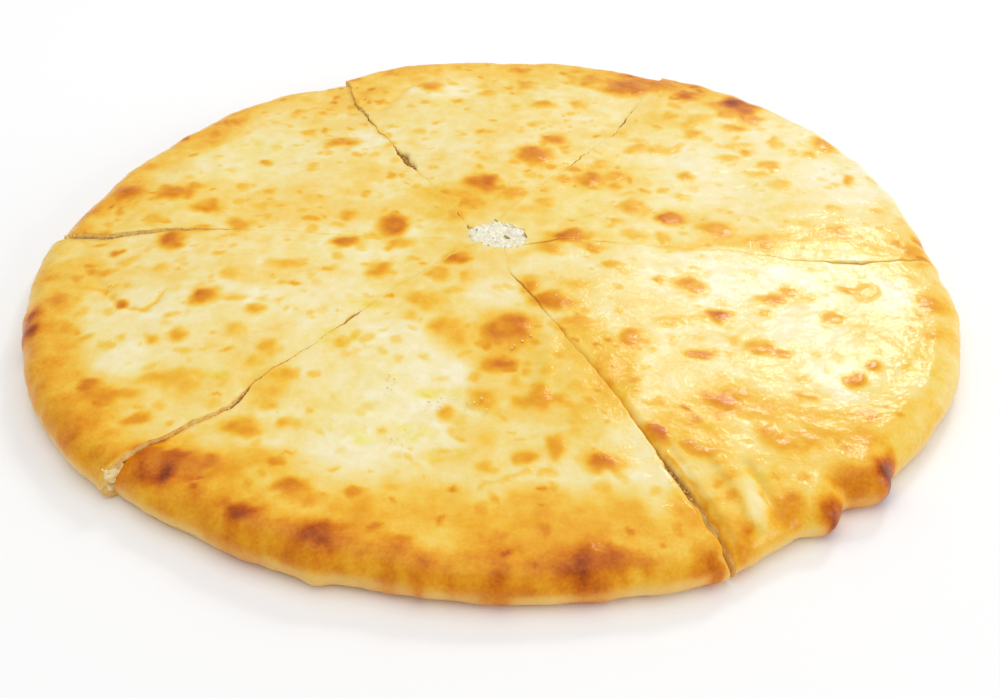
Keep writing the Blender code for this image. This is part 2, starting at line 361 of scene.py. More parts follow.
# Browned blisters: (distance, heading, width east, depth north) in millimetres and degrees.
BLISTERS = {
    Bake.PALE: (
        (45, 13, 4, 4), (50, 1, 7, 7), (59, 360, 4, 6), (75, 22, 5, 4), (92, 45, 10, 6),
        (108, 32, 8, 4), (110, 24, 7, 4), (115, 19, 6, 8), (118, 35, 8, 4), (121, 47, 8, 6),
        (128, 9, 5, 4), (19, 66, 15, 5), (85, 80, 5, 4), (75, 159, 8, 3), (90, 165, 11, 3),
        (130, 129, 3, 3), (95, 194, 5, 4), (99, 202, 7, 4), (104, 212, 7, 6), (106, 221, 5, 4),
        (119, 202, 4, 3), (121, 188, 6, 5), (122, 212, 5, 3), (133, 185, 5, 4), (140, 221, 4, 3),
        (148, 202, 4, 3), (150, 184, 4, 4), (156, 184, 5, 5), (27, 247, 4, 4), (36, 243, 6, 4),
        (78, 263, 4, 4), (80, 274, 4, 5), (87, 287, 7, 5), (98, 286, 7, 4), (101, 283, 5, 5),
        (110, 228, 10, 10), (116, 231, 4, 4), (118, 237, 6, 4), (120, 276, 3, 2), (129, 248, 3, 2),
        (129, 256, 6, 2), (40, 312, 10, 5), (76, 319, 9, 5), (108, 311, 10, 6), (124, 321, 3, 4),
        (131, 346, 8, 10), (137, 299, 7, 4),
    ),
    Bake.GOLDEN: (
        (29, 52, 5, 4), (47, 59, 6, 5), (54, 23, 8, 8), (63, 44, 7, 5), (67, 53, 6, 5),
        (85, 31, 6, 6), (85, 50, 6, 6), (96, 358, 6, 8), (110, 44, 6, 6), (116, 32, 4, 4),
        (119, 26, 6, 7), (125, 2, 4, 6), (127, 40, 10, 5), (132, 32, 4, 6), (137, 48, 9, 6),
        (139, 27, 5, 4), (142, 17, 4, 8), (150, 358, 8, 5), (30, 81, 8, 7), (104, 80, 8, 6),
        (108, 72, 5, 6), (113, 93, 6, 4), (122, 85, 6, 6), (21, 137, 6, 7), (34, 128, 5, 6),
        (59, 164, 5, 6), (98, 174, 8, 7), (107, 150, 4, 4), (112, 135, 4, 5), (123, 163, 5, 4),
        (130, 174, 4, 6), (138, 150, 7, 7), (36, 185, 8, 6), (77, 201, 4, 3), (78, 192, 9, 5),
        (94, 208, 5, 5), (99, 220, 6, 6), (111, 177, 7, 4), (120, 208, 5, 5), (128, 207, 5, 4),
        (128, 218, 10, 7), (135, 215, 7, 6), (142, 187, 6, 3), (144, 216, 6, 4), (146, 191, 7, 2),
        (157, 221, 5, 5), (32, 226, 6, 5), (57, 253, 11, 11), (46, 236, 10, 8), (71, 288, 5, 4),
        (87, 267, 8, 10), (96, 260, 6, 5), (103, 228, 6, 5), (120, 269, 4, 3), (131, 275, 7, 4),
        (134, 238, 4, 4), (138, 278, 14, 4), (141, 272, 14, 7), (145, 284, 7, 7), (148, 288, 14, 6),
        (20, 336, 7, 7), (35, 347, 7, 5), (44, 335, 5, 4), (58, 297, 11, 6), (61, 334, 4, 3),
        (81, 295, 6, 11), (96, 323, 5, 4), (101, 334, 5, 4), (104, 299, 4, 4), (113, 325, 4, 5),
        (114, 311, 6, 5), (122, 310, 9, 5), (127, 299, 6, 3), (130, 319, 8, 4), (132, 309, 9, 10),
        (140, 311, 9, 7), (143, 315, 9, 6), (147, 321, 5, 4), (153, 346, 10, 10), (158, 301, 3, 4),
    ),
    Bake.AMBER: (
        (54, 50, 9, 9), (79, 4, 10, 8), (133, 44, 6, 6), (149, 28, 9, 9), (25, 117, 8, 6),
        (74, 73, 8, 7), (121, 104, 9, 8), (133, 72, 13, 10), (138, 87, 7, 4), (94, 132, 11, 6),
        (113, 169, 7, 6), (145, 140, 8, 7), (47, 204, 7, 8), (140, 182, 4, 4), (148, 221, 7, 4),
        (151, 214, 11, 8), (154, 199, 7, 6), (155, 193, 8, 6), (161, 213, 7, 7), (162, 222, 4, 4),
        (169, 212, 4, 8), (32, 289, 6, 8), (90, 278, 10, 7), (112, 279, 5, 8), (115, 274, 5, 4),
        (127, 232, 9, 7), (142, 246, 9, 7), (148, 229, 12, 6), (150, 253, 7, 5), (151, 241, 3, 3),
        (151, 258, 14, 7), (156, 246, 10, 6), (157, 285, 9, 5), (72, 337, 8, 8), (73, 307, 7, 7),
        (93, 315, 8, 4), (100, 339, 10, 6), (105, 343, 6, 7), (107, 324, 8, 8), (113, 308, 9, 8),
        (121, 338, 7, 7), (151, 231, 14, 6), (154, 258, 12, 6), (122, 298, 5, 4), (124, 346, 5, 4),
        (138, 309, 6, 6), (139, 325, 6, 6), (140, 329, 5, 5), (156, 303, 5, 8), (157, 295, 3, 7),
    ),
    Bake.DEEP: (
        (25, 359, 10, 6), (66, 12, 8, 8), (132, 65, 16, 12), (141, 60, 10, 8), (136, 54, 8, 7),
        (139, 41, 8, 8), (37, 100, 10, 9), (59, 77, 12, 11), (40, 168, 9, 12), (128, 166, 10, 8),
        (147, 167, 11, 9), (21, 220, 8, 7), (56, 182, 10, 6), (108, 199, 8, 8), (121, 180, 9, 9),
        (136, 196, 4, 4), (153, 211, 6, 5), (164, 217, 5, 7), (71, 269, 9, 8), (121, 285, 9, 6),
        (139, 244, 8, 5), (54, 274, 14, 15), (152, 281, 6, 5), (156, 261, 17, 8), (156, 270, 18, 9),
        (156, 282, 5, 6), (156, 241, 13, 9), (161, 242.5, 12, 8), (43, 294, 12, 6), (87, 328, 7, 7),
        (114, 295, 6, 7), (155, 226.8, 15, 9), (147, 231, 12, 6), (160, 312, 14, 8),
        (158, 296.2, 4, 7), (163.5, 291.4, 8, 4),
    ),
    Bake.BURNT: (
        (144, 45, 15, 10), (166, 196, 5, 11), (153, 250.8, 14, 8), (155, 279, 16, 11),
        (153, 229.6, 13, 9), (153, 241, 7, 6), (152, 228.2, 13, 8),
    ),
    Bake.CHARRED: (
        (165, 307, 11, 9), (167, 315, 8, 12),
    ),
}

# Wide soft washes of colour: (distance, heading, width, depth) in millimetres and degrees, bake.
WASHES = (
    (92, 252, 44, 58, 0.05), (108, 148, 60, 34, 0.14), (128, 206, 40, 34, 0.15),
    (82, 196, 46, 20, 0.30), (67, 209, 32, 26, 0.14), (81, 341, 62, 26, 0.10),
    (28, 320, 20, 14, 0.12), (102, 24, 70, 56, 0.14), (100, 92, 40, 36, 0.24),
    (27, 225, 40, 26, 0.30), (86, 281, 40, 46, 0.36), (62, 270, 34, 26, 0.38),
    (32, 112, 34, 26, 0.42), (128, 119, 34, 22, 0.44), (33, 133, 28, 24, 0.46),
    (72, 163, 90, 14, 0.32), (62, 297, 12, 34, 0.46), (88, 296, 16, 40, 0.48),
    (119, 299, 22, 30, 0.46), (113, 309, 26, 14, 0.48), (134, 315, 44, 12, 0.46),
    (95, 358, 84, 9, 0.42), (141, 236, 40, 18, 0.48), (138, 262, 80, 22, 0.46),
    (139, 278, 50, 22, 0.48), (60, 60, 40, 8, 0.34), (132, 0, 44, 10, 0.46),
    (139, 63, 30, 16, 0.62), (152, 188, 14, 24, 0.44), (66, 236, 26, 22, 0.07),
    (124, 198, 44, 20, 0.10),
)

# Pale patches that lie over the washes and over the browned rim, in the same form. Some are
# paler dough; those on right_back and right_front are also painted sheen, whitened colour that
# stands for the soft glare on those slices.
PALE_AND_SHEEN_PATCHES = (
    (148, 299, 9, 18, 0.10), (114, 102, 30, 16, 0.04), (62, 347, 44, 12, 0.10),
    (139, 34, 30, 22, 0.06), (98, 36, 56, 34, 0.06), (88, 128, 22, 20, 0.05),
    (138, 17, 30, 32, 0.04), (76, 20, 34, 16, 0.08), (146, 176, 18, 12, 0.34),
    (138, 209, 18, 10, 0.06), (96, 345, 50, 14, 0.02), (139, 347, 28, 14, 0.00),
    (112, 333, 34, 26, 0.06), (133, 325, 30, 16, 0.08), (128, 289, 12, 34, 0.16),
)

# Where butter has soaked in: (distance, heading, width, depth) in millimetres and degrees.
BUTTER_POOLS = (
    (87, 257, 16, 8), (112, 249, 18, 9), (44, 250, 8, 5), (78, 227, 20, 8), (127, 357, 26, 7),
    (107, 254, 20, 10), (113, 262, 14, 7), (88, 297, 10, 22), (118, 222, 24, 9), (152, 334, 14, 26),
    (60, 222, 14, 6), (120, 300, 14, 18), (116, 357.8, 70, 8), (142, 303, 12, 12),
)


@dataclass(frozen=True)
class Fold:
    """A crease or a ridge of the top along places in millimetres and degrees; on some creases
    its browning is painted shade.
    """

    places: tuple
    half_width: float
    rise: float
    bake: float = 0.0

    def share(self, east: np.ndarray, north: np.ndarray) -> np.ndarray:
        """How fully each place lies on the fold: 1 on its line, 0 beside it."""
        nearest = np.full(east.shape, np.inf)
        ends = [spot(*place) for place in self.places]
        for (start_east, start_north), (end_east, end_north) in zip(ends, ends[1:]):
            run_east, run_north = end_east - start_east, end_north - start_north
            travel = ((east - start_east) * run_east + (north - start_north) * run_north)
            travel = np.clip(travel / (run_east ** 2 + run_north ** 2), 0.0, 1.0)
            apart = np.hypot(east - start_east - travel * run_east,
                             north - start_north - travel * run_north)
            nearest = np.minimum(nearest, apart)
        return eased(1.0 - nearest / self.half_width)


FOLDS = (
    Fold(((132, 300), (141, 299.8), (149, 299), (156, 298.4)), 0.0045, 0.0018),
    # Painted shade: this groove beside the ridge is browned for the sharp shadow along the ridge.
    Fold(((137, 302.6), (145, 302), (152, 301.2), (158, 300.8)), 0.0028, -0.0012, 0.44),
    # Painted shade: a brown band along right_front's rolled edge at the front cut, for the shade
    # there.
    Fold(((120, 294.9), (135, 294.7), (150, 294.5), (161, 294.5)), 0.0022, -0.0005, 0.50),
    # Painted shade: this crease on the back slice is browned for the shade in it.
    Fold(((126, 107.7), (117, 112.8), (109, 118)), 0.0040, -0.0006, 0.34),
    Fold(((123.2, 118.2), (122.8, 118.4)), 0.0010, -0.0003, 0.85),
    # Painted shade: this crease on the left slice is browned as a thin line of shade.
    Fold(((144, 190), (136, 196), (132, 198), (127, 199), (121, 196)), 0.0026, -0.0005, 0.42),
    Fold(((127, 268), (124, 271), (120, 274)), 0.0026, 0.0004, 0.38),
    Fold(((152, 226), (147, 230), (141, 233)), 0.0045, 0.0010, 0.60),
    Fold(((155, 229), (149, 234)), 0.0034, -0.0008, 0.66),
    Fold(((97, 132), (91, 132)), 0.0022, -0.0005, 0.60),
    Fold(((150, 186), (140, 191), (132, 192)), 0.0022, -0.0004),
    Fold(((62, 286), (78, 281), (92, 277)), 0.0050, 0.0004),
)


class Skin:
    """How the baked top has swelled and browned at any place, seen from above."""

    # Layers of noise: cell, height or share, seed.
    UNDULATIONS = ((0.030, 0.00050, 71), (0.012, 0.00024, 72), (0.0055, 0.00010, 73))
    WARP_EAST = ((0.0080, 0.0014, 80), (0.0030, 0.0011, 81))
    WARP_NORTH = ((0.0080, 0.0014, 90), (0.0030, 0.0011, 91))
    WIDE_WARP_EAST = ((0.014, 0.006, 103),)
    WIDE_WARP_NORTH = ((0.014, 0.006, 104),)
    MOTTLE = ((0.026, 0.08, 101), (0.010, 0.08, 102), (0.0045, 0.05, 110))
    RIM_MOTTLE = ((0.013, 0.10, 107), (0.005, 0.07, 108))
    RAGGED_EDGE = ((0.016, 0.006, 105), (0.005, 0.0025, 106))
    UNEVEN_BLISTERS = ((0.0045, 0.16, 109),)
    THIN_BUTTER = ((0.018, 0.8, 305),)

    RAW = 0.22
    RIM_WIDTH = 0.022
    RIM_REACH = 1.35
    WASH_REACH = 1.45
    WASH_STRENGTH = 0.85
    PALE_AND_SHEEN_REACH = 1.5
    PALE_AND_SHEEN_STRENGTH = 0.8
    POOL_REACH = 1.5
    THIN_BUTTER_SHARE = 0.45

    SPREAD = 1.15
    DOME_SHARE = 0.055
    DOME_REACH = 1.25
    BLISTER_REACH = 1.75
    BLISTER_FADE = 1.30

    FRECKLES = 900
    FRECKLE_SEED = 5
    FRECKLE_FIELD = 155.0
    FRECKLE_FREE_MIDDLE = 0.03
    FRECKLE_WIDTHS = (1.5, 4.8)
    FRECKLE_ROUNDNESS = (0.6, 1.2)
    FRECKLE_GAINS = (0.07, 0.26)
    FRECKLE_REACH = 1.5

    def __init__(self) -> None:
        """Gathers the patches of the lists and the small freckles between them."""
        self.washes = [patch(*row) for row in WASHES]
        self.pale_and_sheen_patches = [patch(*row) for row in PALE_AND_SHEEN_PATCHES]
        self.pools = [patch(*row) for row in BUTTER_POOLS]
        self.blisters = [
            patch(distance, heading, width * self.SPREAD, depth * self.SPREAD, bake.value)
            for bake, places in BLISTERS.items() for distance, heading, width, depth in places]
        self.freckles = []
        chance = np.random.default_rng(self.FRECKLE_SEED)
        for _ in range(self.FRECKLES):
            distance = self.FRECKLE_FIELD * math.sqrt(
                chance.uniform(self.FRECKLE_FREE_MIDDLE, 1.0))
            east, north = spot(distance, chance.uniform(0.0, 360.0))
            width = chance.uniform(*self.FRECKLE_WIDTHS) * MM
            depth = width * chance.uniform(*self.FRECKLE_ROUNDNESS)
            gain = chance.uniform(*self.FRECKLE_GAINS)
            self.freckles.append(Patch(east, north, width, depth, gain))

    def warped(self, east: np.ndarray, north: np.ndarray) -> tuple[np.ndarray, np.ndarray]:
        """The places moved a little, so that round spots get uneven edges."""
        return (east + layered(self.WARP_EAST, east, north),
                north + layered(self.WARP_NORTH, east, north))

    def relief(self, east: np.ndarray, north: np.ndarray) -> np.ndarray:
        """Height of the blisters, folds and soft unevenness above the plain top."""
        moved = self.warped(east, north)
        domes = np.zeros(east.shape)
        for blister in self.blisters:
            height = self.DOME_SHARE * min(blister.width, blister.depth)
            height *= min(1.0, blister.bake + 0.1)
            domes = np.maximum(domes, height * eased(self.DOME_REACH - blister.away(*moved)))
        rise = layered(self.UNDULATIONS, east, north) + domes
        for fold in FOLDS:
            rise += fold.rise * fold.share(east, north)
        return rise

    def browning(self, east: np.ndarray, north: np.ndarray, edge: np.ndarray,
                 rim_bake: np.ndarray) -> np.ndarray:
        """How far the oven has browned each place, apart from its folds and blisters; the pale
        patches laid over it last are partly painted sheen.

        Args:
            east: Places to the east, in metres.
            north: Places to the north, in metres.
            edge: Each place's distance in from the rim.
            rim_bake: How brown the rim is beside each place.

        Returns:
            The browning, from 0 for raw to 1 for burnt.
        """
        wide = (east + layered(self.WIDE_WARP_EAST, east, north),
                north + layered(self.WIDE_WARP_NORTH, east, north))
        brown = self.RAW + layered(self.MOTTLE, east, north)
        brown = blended(brown, self.washes, wide, self.WASH_REACH, self.WASH_STRENGTH)
        ragged_edge = edge + layered(self.RAGGED_EDGE, east, north)
        mottled_rim = rim_bake + layered(self.RIM_MOTTLE, east, north)
        brown += (mottled_rim - brown) * eased(self.RIM_REACH - ragged_edge / self.RIM_WIDTH)
        # The pale patches go over last: paler dough, and on right_back and right_front also painted
        # sheen.
        return blended(brown, self.pale_and_sheen_patches, wide, self.PALE_AND_SHEEN_REACH, self.PALE_AND_SHEEN_STRENGTH)

    def buttered(self, east: np.ndarray, north: np.ndarray) -> np.ndarray:
        """How much butter has soaked in at each place: a little nearly everywhere."""
        moved = self.warped(east, north)
        share = self.THIN_BUTTER_SHARE * eased(0.4 + layered(self.THIN_BUTTER, east, north))
        for pool in self.pools:
            share = np.maximum(share, eased(self.POOL_REACH - pool.away(*moved)))
        return share

    def blistered(self, east: np.ndarray, north: np.ndarray, brown: np.ndarray) -> np.ndarray:
        """The browning of each place once its folds and blisters are added to it."""
        moved = self.warped(east, north)
        # The folds' browning; on some creases it is painted shade.
        for fold in FOLDS:
            if fold.bake:
                brown = np.maximum(brown, fold.bake * fold.share(*moved))
        speckled = np.zeros(east.shape)
        for freckle in self.freckles:
            share = eased(self.FRECKLE_REACH - freckle.away(*moved))
            speckled = np.maximum(speckled, freckle.bake * share)
        brown = brown + speckled
        uneven = 1.0 + layered(self.UNEVEN_BLISTERS, east, north)
        for blister in self.blisters:
            share = eased((self.BLISTER_REACH - blister.away(*moved)) / self.BLISTER_FADE)
            brown = brown + np.maximum(blister.bake * uneven - brown, 0.0) * share
        return brown


@dataclass(frozen=True)
class Slice:
    """One slice, from its first cut round to its second, counter-clockwise from above.

    The lists are evenly spaced across the slice: the rim's radius, the height of the rim as a
    share of the plain height, the distance from the hub at which the top dough stops, and how
    brown the rim is. The rolls are pairs of a distance and the radius to which the edge of that
    cut is rounded down.
    """

    name: str
    first_cut: Cut
    second_cut: Cut
    radii: tuple
    rim_heights: tuple
    tear: tuple
    rim_bake: tuple
    first_roll: tuple = ((0.0, 0.0), (0.16, 0.0))
    second_roll: tuple = ((0.0, 0.0), (0.16, 0.0))
    seed: int = 0

    def stretched(self, plain: np.ndarray, across: np.ndarray) -> np.ndarray:
        """A plain distance from the hub, fitted to this slice's own tear and rim."""
        tear_layers = ((0.05, RAGGED_TEAR, self.seed + 1), (0.12, RAGGED_TEAR, self.seed + 2))
        rim_layers = ((0.09, RAGGED_RIM, self.seed + 3),)
        level = np.zeros_like(across)
        tear = along(self.tear, across) + layered(tear_layers, across, level)
        radius = along(self.radii, across) + layered(rim_layers, across, level)
        rim_start = PLAIN_RADIUS - RIM_BAND
        inside = plain * tear / PLAIN_TEAR
        sheet = (plain - PLAIN_TEAR) / (rim_start - PLAIN_TEAR)
        between = tear + (radius - RIM_BAND - tear) * sheet
        outside = radius - PLAIN_RADIUS + plain
        return np.where(plain <= PLAIN_TEAR, inside, np.where(plain >= rim_start, outside, between))

    def place(self, plain: np.ndarray, height: np.ndarray, across: np.ndarray,
              deep_gap: float) -> dict[str, np.ndarray]:
        """Moves points of the plain slice to their places in this slice.

        Args:
            plain: Plain distances from the hub.
            height: Plain heights.
            across: Shares of the way from the first cut to the second.
            deep_gap: The share of the cuts' gaps that is left below the top, where the soft
                slices have sunk against each other.

        Returns:
            The points' east, north and up, their distance and heading from the hub, and how far
            beside the nearer cut they lie.
        """
        distance = self.stretched(plain, across)
        depth_share = eased((top_height(plain) - OPEN_DEPTH - height) / NOTCH_DEPTH)
        gap_share = 1.0 + (deep_gap - 1.0) * depth_share
        start = self.first_cut.side(distance, 1, gap_share)
        end = self.second_cut.side(distance, -1, gap_share)
        heading = start + (end - start) * across

        outward = eased((plain / PLAIN_RADIUS - LEVEL_SHARE) / (1.0 - LEVEL_SHARE))
        up = height * (1.0 + (along(self.rim_heights, across) - 1.0) * outward)
        nearness = eased((plain - PLAIN_RADIUS + RIM_BAND) / RIM_BAND)
        lift = height / SHOULDER_HEIGHT
        reach = distance.copy()
        for lump in LUMPS:
            apart = (np.degrees(heading) - lump.heading + 180.0) % 360.0 - 180.0
            share = eased(1.0 - np.abs(apart) / lump.half_width) * nearness
            reach += lump.reach * share
            up = up + lump.rise * share * lift

        for cut, roll, from_cut in (
                (self.first_cut, self.first_roll, (heading - start) * distance),
                (self.second_cut, self.second_roll, (end - heading) * distance)):
            known = np.array(roll)
            radius = np.interp(distance, known[:, 0], known[:, 1])
            least_radius = CLOSED_EDGE + OPEN_EDGE_SHARE * cut.opening(distance)
            radius = np.maximum(radius, least_radius)
            inward = np.clip(1.0 - from_cut / radius, 0.0, 1.0)
            drop = radius * (1.0 - np.sqrt(1.0 - inward ** 2))
            up = up * (1.0 - drop / MIDDLE_HEIGHT)

        beside = np.minimum(heading - start, end - heading) * distance
        east = HUB[0] + reach * np.cos(heading)
        north = HUB[1] + reach * np.sin(heading)
        wave = np.zeros(east.shape)
        for wavelength, toward, phase, rise in TOP_WAVES:
            turn = math.radians(toward)
            travel = (east * math.cos(turn) + north * math.sin(turn)) / wavelength
            wave += rise * np.sin(2.0 * math.pi * (travel + phase))
        up = up + wave * lift * np.minimum(1.0, plain / PLAIN_TEAR)
        return {"east": east, "north": north, "up": up, "distance": distance,
                "heading": heading, "beside": beside}

    def painted_cut_shade(self, placed: dict[str, np.ndarray], brown: np.ndarray) -> np.ndarray:
        """The browning with a thin uneven line of painted shade along each cut, for the shade in
        the gap.
        """
        uneven = SoftNoise(CUT_SHADE_CELL, self.seed + 4).at(placed["east"], placed["north"])
        share = eased(1.0 - placed["beside"] / CUT_SHADE_WIDTH) * eased(0.3 + 0.8 * uneven)
        return brown + (CUT_SHADE_BAKE - brown) * share


SLICES = (
    Slice("right_back", CUT_RIGHT, CUT_BACK_RIGHT,
          (0.1590, 0.1574, 0.1588, 0.1592, 0.1575, 0.1563, 0.1548),
          (1.00, 1.00, 1.00), (0.0104, 0.0106, 0.0096, 0.0086, 0.0080, 0.0074, 0.0076),
          (0.38, 0.14, 0.08, 0.16, 0.34, 0.60), seed=201),
    Slice("back", CUT_BACK_RIGHT, CUT_BACK,
          (0.1525, 0.1525, 0.1540, 0.1510, 0.1518, 0.1512, 0.1490),
          (0.98, 1.00, 1.05), (0.0076, 0.0074, 0.0092),
          (0.70, 0.48, 0.42, 0.42, 0.44, 0.48), seed=211),
    Slice("left_back", CUT_BACK, CUT_LEFT,
          (0.1472, 0.1535, 0.1563, 0.1560, 0.1576, 0.1602, 0.1640),
          (0.93, 1.00, 1.02), (0.0094, 0.0106, 0.0096),
          (0.38, 0.40, 0.43, 0.47, 0.51, 0.53), seed=221),
    Slice("left", CUT_LEFT, CUT_LEFT_FRONT,
          (0.1680, 0.1690, 0.1698, 0.1705, 0.1708, 0.1693, 0.1680),
          (0.85, 1.00, 1.06), (0.0096, 0.0088, 0.0082),
          (0.36, 0.44, 0.50, 0.52, 0.53, 0.50), seed=231),
    Slice("front", CUT_LEFT_FRONT, turned_on(CUT_FRONT),
          (0.1645, 0.1624, 0.1603, 0.1590, 0.1603, 0.1612, 0.1640),
          (0.92, 1.00, 0.96), (0.0080, 0.0076, 0.0084),
          (0.70, 0.56, 0.58, 0.57, 0.58, 0.60, 0.54, 0.56),
          first_roll=((0.05, 0.0), (0.15, 0.0002), (0.168, 0.0012)),
          second_roll=((0.05, 0.0), (0.13, 0.0014), (0.165, 0.0026)), seed=241),
    Slice("right_front", CUT_FRONT, CUT_RIGHT,
          (0.1632, 0.1606, 0.1620, 0.1648, 0.1656, 0.1634, 0.1602),
          (0.88, 0.94, 1.00, 1.00, 0.98), (0.0084, 0.0096, 0.0104),
          (0.46, 0.42, 0.46, 0.36, 0.30, 0.32, 0.24),
          first_roll=((0.03, 0.0), (0.07, 0.0018), (0.13, 0.0030), (0.165, 0.0044)),
          seed=251),
)


def top_height(distance: np.ndarray) -> np.ndarray:
    """Height of the plain slice's outside at distances from the hub, out to its nose."""
    shoulder = PLAIN_RADIUS - NOSE_DEPTH_ABOVE
    share = np.minimum(1.0, distance / shoulder)
    top = MIDDLE_HEIGHT - (MIDDLE_HEIGHT - SHOULDER_HEIGHT) * share ** 2
    over = np.clip((distance - shoulder) / NOSE_DEPTH_ABOVE, 0.0, 1.0)
    return NOSE_HEIGHT + (top - NOSE_HEIGHT) * np.sqrt(1.0 - over ** 2)


def even_distances(start: float, end: float, step: float) -> list[float]:
    """Evenly spaced distances from start to end, about a step apart."""
    count = max(1, round(abs(end - start) / step))
    return [start + (end - start) * number / count for number in range(count + 1)]


def quarter(middle: tuple, across: float, up: float, first_turn: float) -> list[tuple]:
    """Points of a quarter ellipse about a middle (distance, height), counter-clockwise."""
    turns = np.linspace(first_turn, first_turn + 0.5 * math.pi, QUARTER_POINTS)
    return [(middle[0] + across * math.cos(turn), middle[1] + up * math.sin(turn))
            for turn in turns]


def resampled(path: list[tuple], steps: int) -> list[tuple]:
    """The same path with a number of equal steps."""
    points = np.array(path)
    run = np.concatenate(([0.0], np.cumsum(np.hypot(*np.diff(points, axis=0).T))))
    places = np.linspace(0.0, run[-1], steps + 1)
    return list(zip(np.interp(places, run, points[:, 0]), np.interp(places, run, points[:, 1])))


@dataclass
class Section:
    """A cross-section in (distance, height), made of cells that share corners."""

    points: list[tuple] = field(default_factory=list)
    cells: list[list[int]] = field(default_factory=list)
    outside: dict[int, tuple] = field(default_factory=dict)
    numbers: dict[tuple, int] = field(default_factory=dict)

    def corner(self, point: tuple) -> int:
        """The number of a corner, which is added if it is new."""
        key = (round(point[0], 7), round(point[1], 7))
        if key not in self.numbers:
            self.numbers[key] = len(self.points)
            self.points.append((float(point[0]), float(point[1])))
        return self.numbers[key]

    def add_band(self, lower: list[tuple], upper: list[tuple], group: int = 1) -> None:
        """Adds cells between two rows of points.

        Args:
            lower: The lower row.
            upper: The upper row, with a group of steps for each step of the lower one.
            group: How many upper steps lie over one lower step.
        """
        for step in range(len(lower) - 1):
            over = upper[step * group:(step + 1) * group + 1]
            cell = [lower[step], lower[step + 1]] + over[::-1]
            self.cells.append([self.corner(point) for point in cell])

    def mark_outside(self, path: list[tuple]) -> None:
        """Marks the points of a path as outside and keeps the way each one faces."""
        points = np.array(path)
        run = np.gradient(points, axis=0)
        run /= np.hypot(run[:, 0], run[:, 1])[:, None]
        for point, (along_path, up_path) in zip(path, run):
            self.outside[self.corner(point)] = (up_path, -along_path)

    def edges(self) -> list[tuple[int, int]]:
        """The directed edges of the cells' joint outline."""
        seen = {}
        for cell in self.cells:
            for start, end in zip(cell, cell[1:] + cell[:1]):
                seen[start, end] = seen.get((start, end), 0) + 1
        return [edge for edge in seen if edge[::-1] not in seen]


def pocket_path(clearance: float) -> list[tuple]:
    """The round end of the filling's pocket, from its floor up to its roof."""
    start = PLAIN_RADIUS - SOLID_RIM - POCKET_DEPTH
    roof = top_height(start) - DOUGH_THICKNESS
    middle = (start, 0.5 * (DOUGH_THICKNESS + roof))
    up = 0.5 * (roof - DOUGH_THICKNESS) - clearance
    lower = quarter(middle, POCKET_DEPTH - clearance, up, -0.5 * math.pi)
    upper = quarter(middle, POCKET_DEPTH - clearance, up, 0.0)
    return lower + upper[1:]


def crust_section() -> Section:
    """The folded dough's section."""
    rim_start = PLAIN_RADIUS - RIM_BAND
    shoulder = PLAIN_RADIUS - NOSE_DEPTH_ABOVE
    outer = [(rim_start, 0.0)]
    outer += quarter((PLAIN_RADIUS - NOSE_DEPTH_BELOW, NOSE_HEIGHT), NOSE_DEPTH_BELOW,
                     NOSE_HEIGHT, -0.5 * math.pi)
    outer += quarter((shoulder, NOSE_HEIGHT), NOSE_DEPTH_ABOVE,
                     top_height(shoulder) - NOSE_HEIGHT, 0.0)[1:]
    rim_top = even_distances(shoulder, rim_start, RIM_TOP_STEP)[1:]
    outer += [(place, top_height(place)) for place in rim_top]
    steps = round(RIM_GIRTH / TOP_STEP)
    outer = resampled(outer, steps)
    inner = [(rim_start, DOUGH_THICKNESS)] + pocket_path(0.0)
    inner += [(rim_start, top_height(rim_start) - DOUGH_THICKNESS)]
    inner = resampled(inner, steps)

    base_places = even_distances(SLICE_TIP, rim_start, BASE_STEP)
    base = [(place, 0.0) for place in base_places]
    base_top = [(place, DOUGH_THICKNESS) for place in base_places]
    group_count = round((rim_start - PLAIN_TEAR) / TOP_STEP / UNDER_GROUP)
    under_places = np.linspace(PLAIN_TEAR, rim_start, group_count + 1)
    top_places = np.linspace(PLAIN_TEAR, rim_start, group_count * UNDER_GROUP + 1)
    top = [(place, top_height(place)) for place in top_places]
    under = []
    for place in under_places:
        share = min(1.0, (place - PLAIN_TEAR) / LIP_WIDTH)
        thickness = LIP_THICKNESS + (DOUGH_THICKNESS - LIP_THICKNESS) * share
        under.append((place, top_height(place) - thickness))

    section = Section()
    section.add_band(base, base_top)
    section.add_band(outer[::-1], inner[::-1])
    section.add_band(under, top, UNDER_GROUP)
    section.mark_outside(base[:-1] + outer + top[::-1][1:])
    return section


def filling_section() -> Section:
    """The curd cheese's section."""
    floor_height = DOUGH_THICKNESS + FIT_GAP
    rim_start = PLAIN_RADIUS - RIM_BAND
    heap_places = list(np.linspace(HEAP_TIP, PLAIN_TEAR - HEAP_SET_BACK, HEAP_STEPS + 1))
    sheet_places = even_distances(PLAIN_TEAR + ROOF_STEP, rim_start, ROOF_STEP)
    heap = [(place, HEAP_HEIGHT) for place in heap_places]
    roof = [(place, top_height(place) - DOUGH_THICKNESS - FIT_GAP) for place in sheet_places]
    shoulder = (PLAIN_TEAR + HEAP_SHOULDER_OUT, HEAP_HEIGHT - HEAP_SHOULDER_DROP)
    upper = heap + [shoulder] + roof
    lower = [(place, floor_height) for place, _ in upper]
    section = Section()
    section.add_band(lower, upper)
    end = [lower[-1]] + resampled(pocket_path(FIT_GAP), POCKET_STEPS) + [upper[-1]]
    section.cells.append([section.corner(point) for point in end])
    section.mark_outside(heap[::-1])
    return section


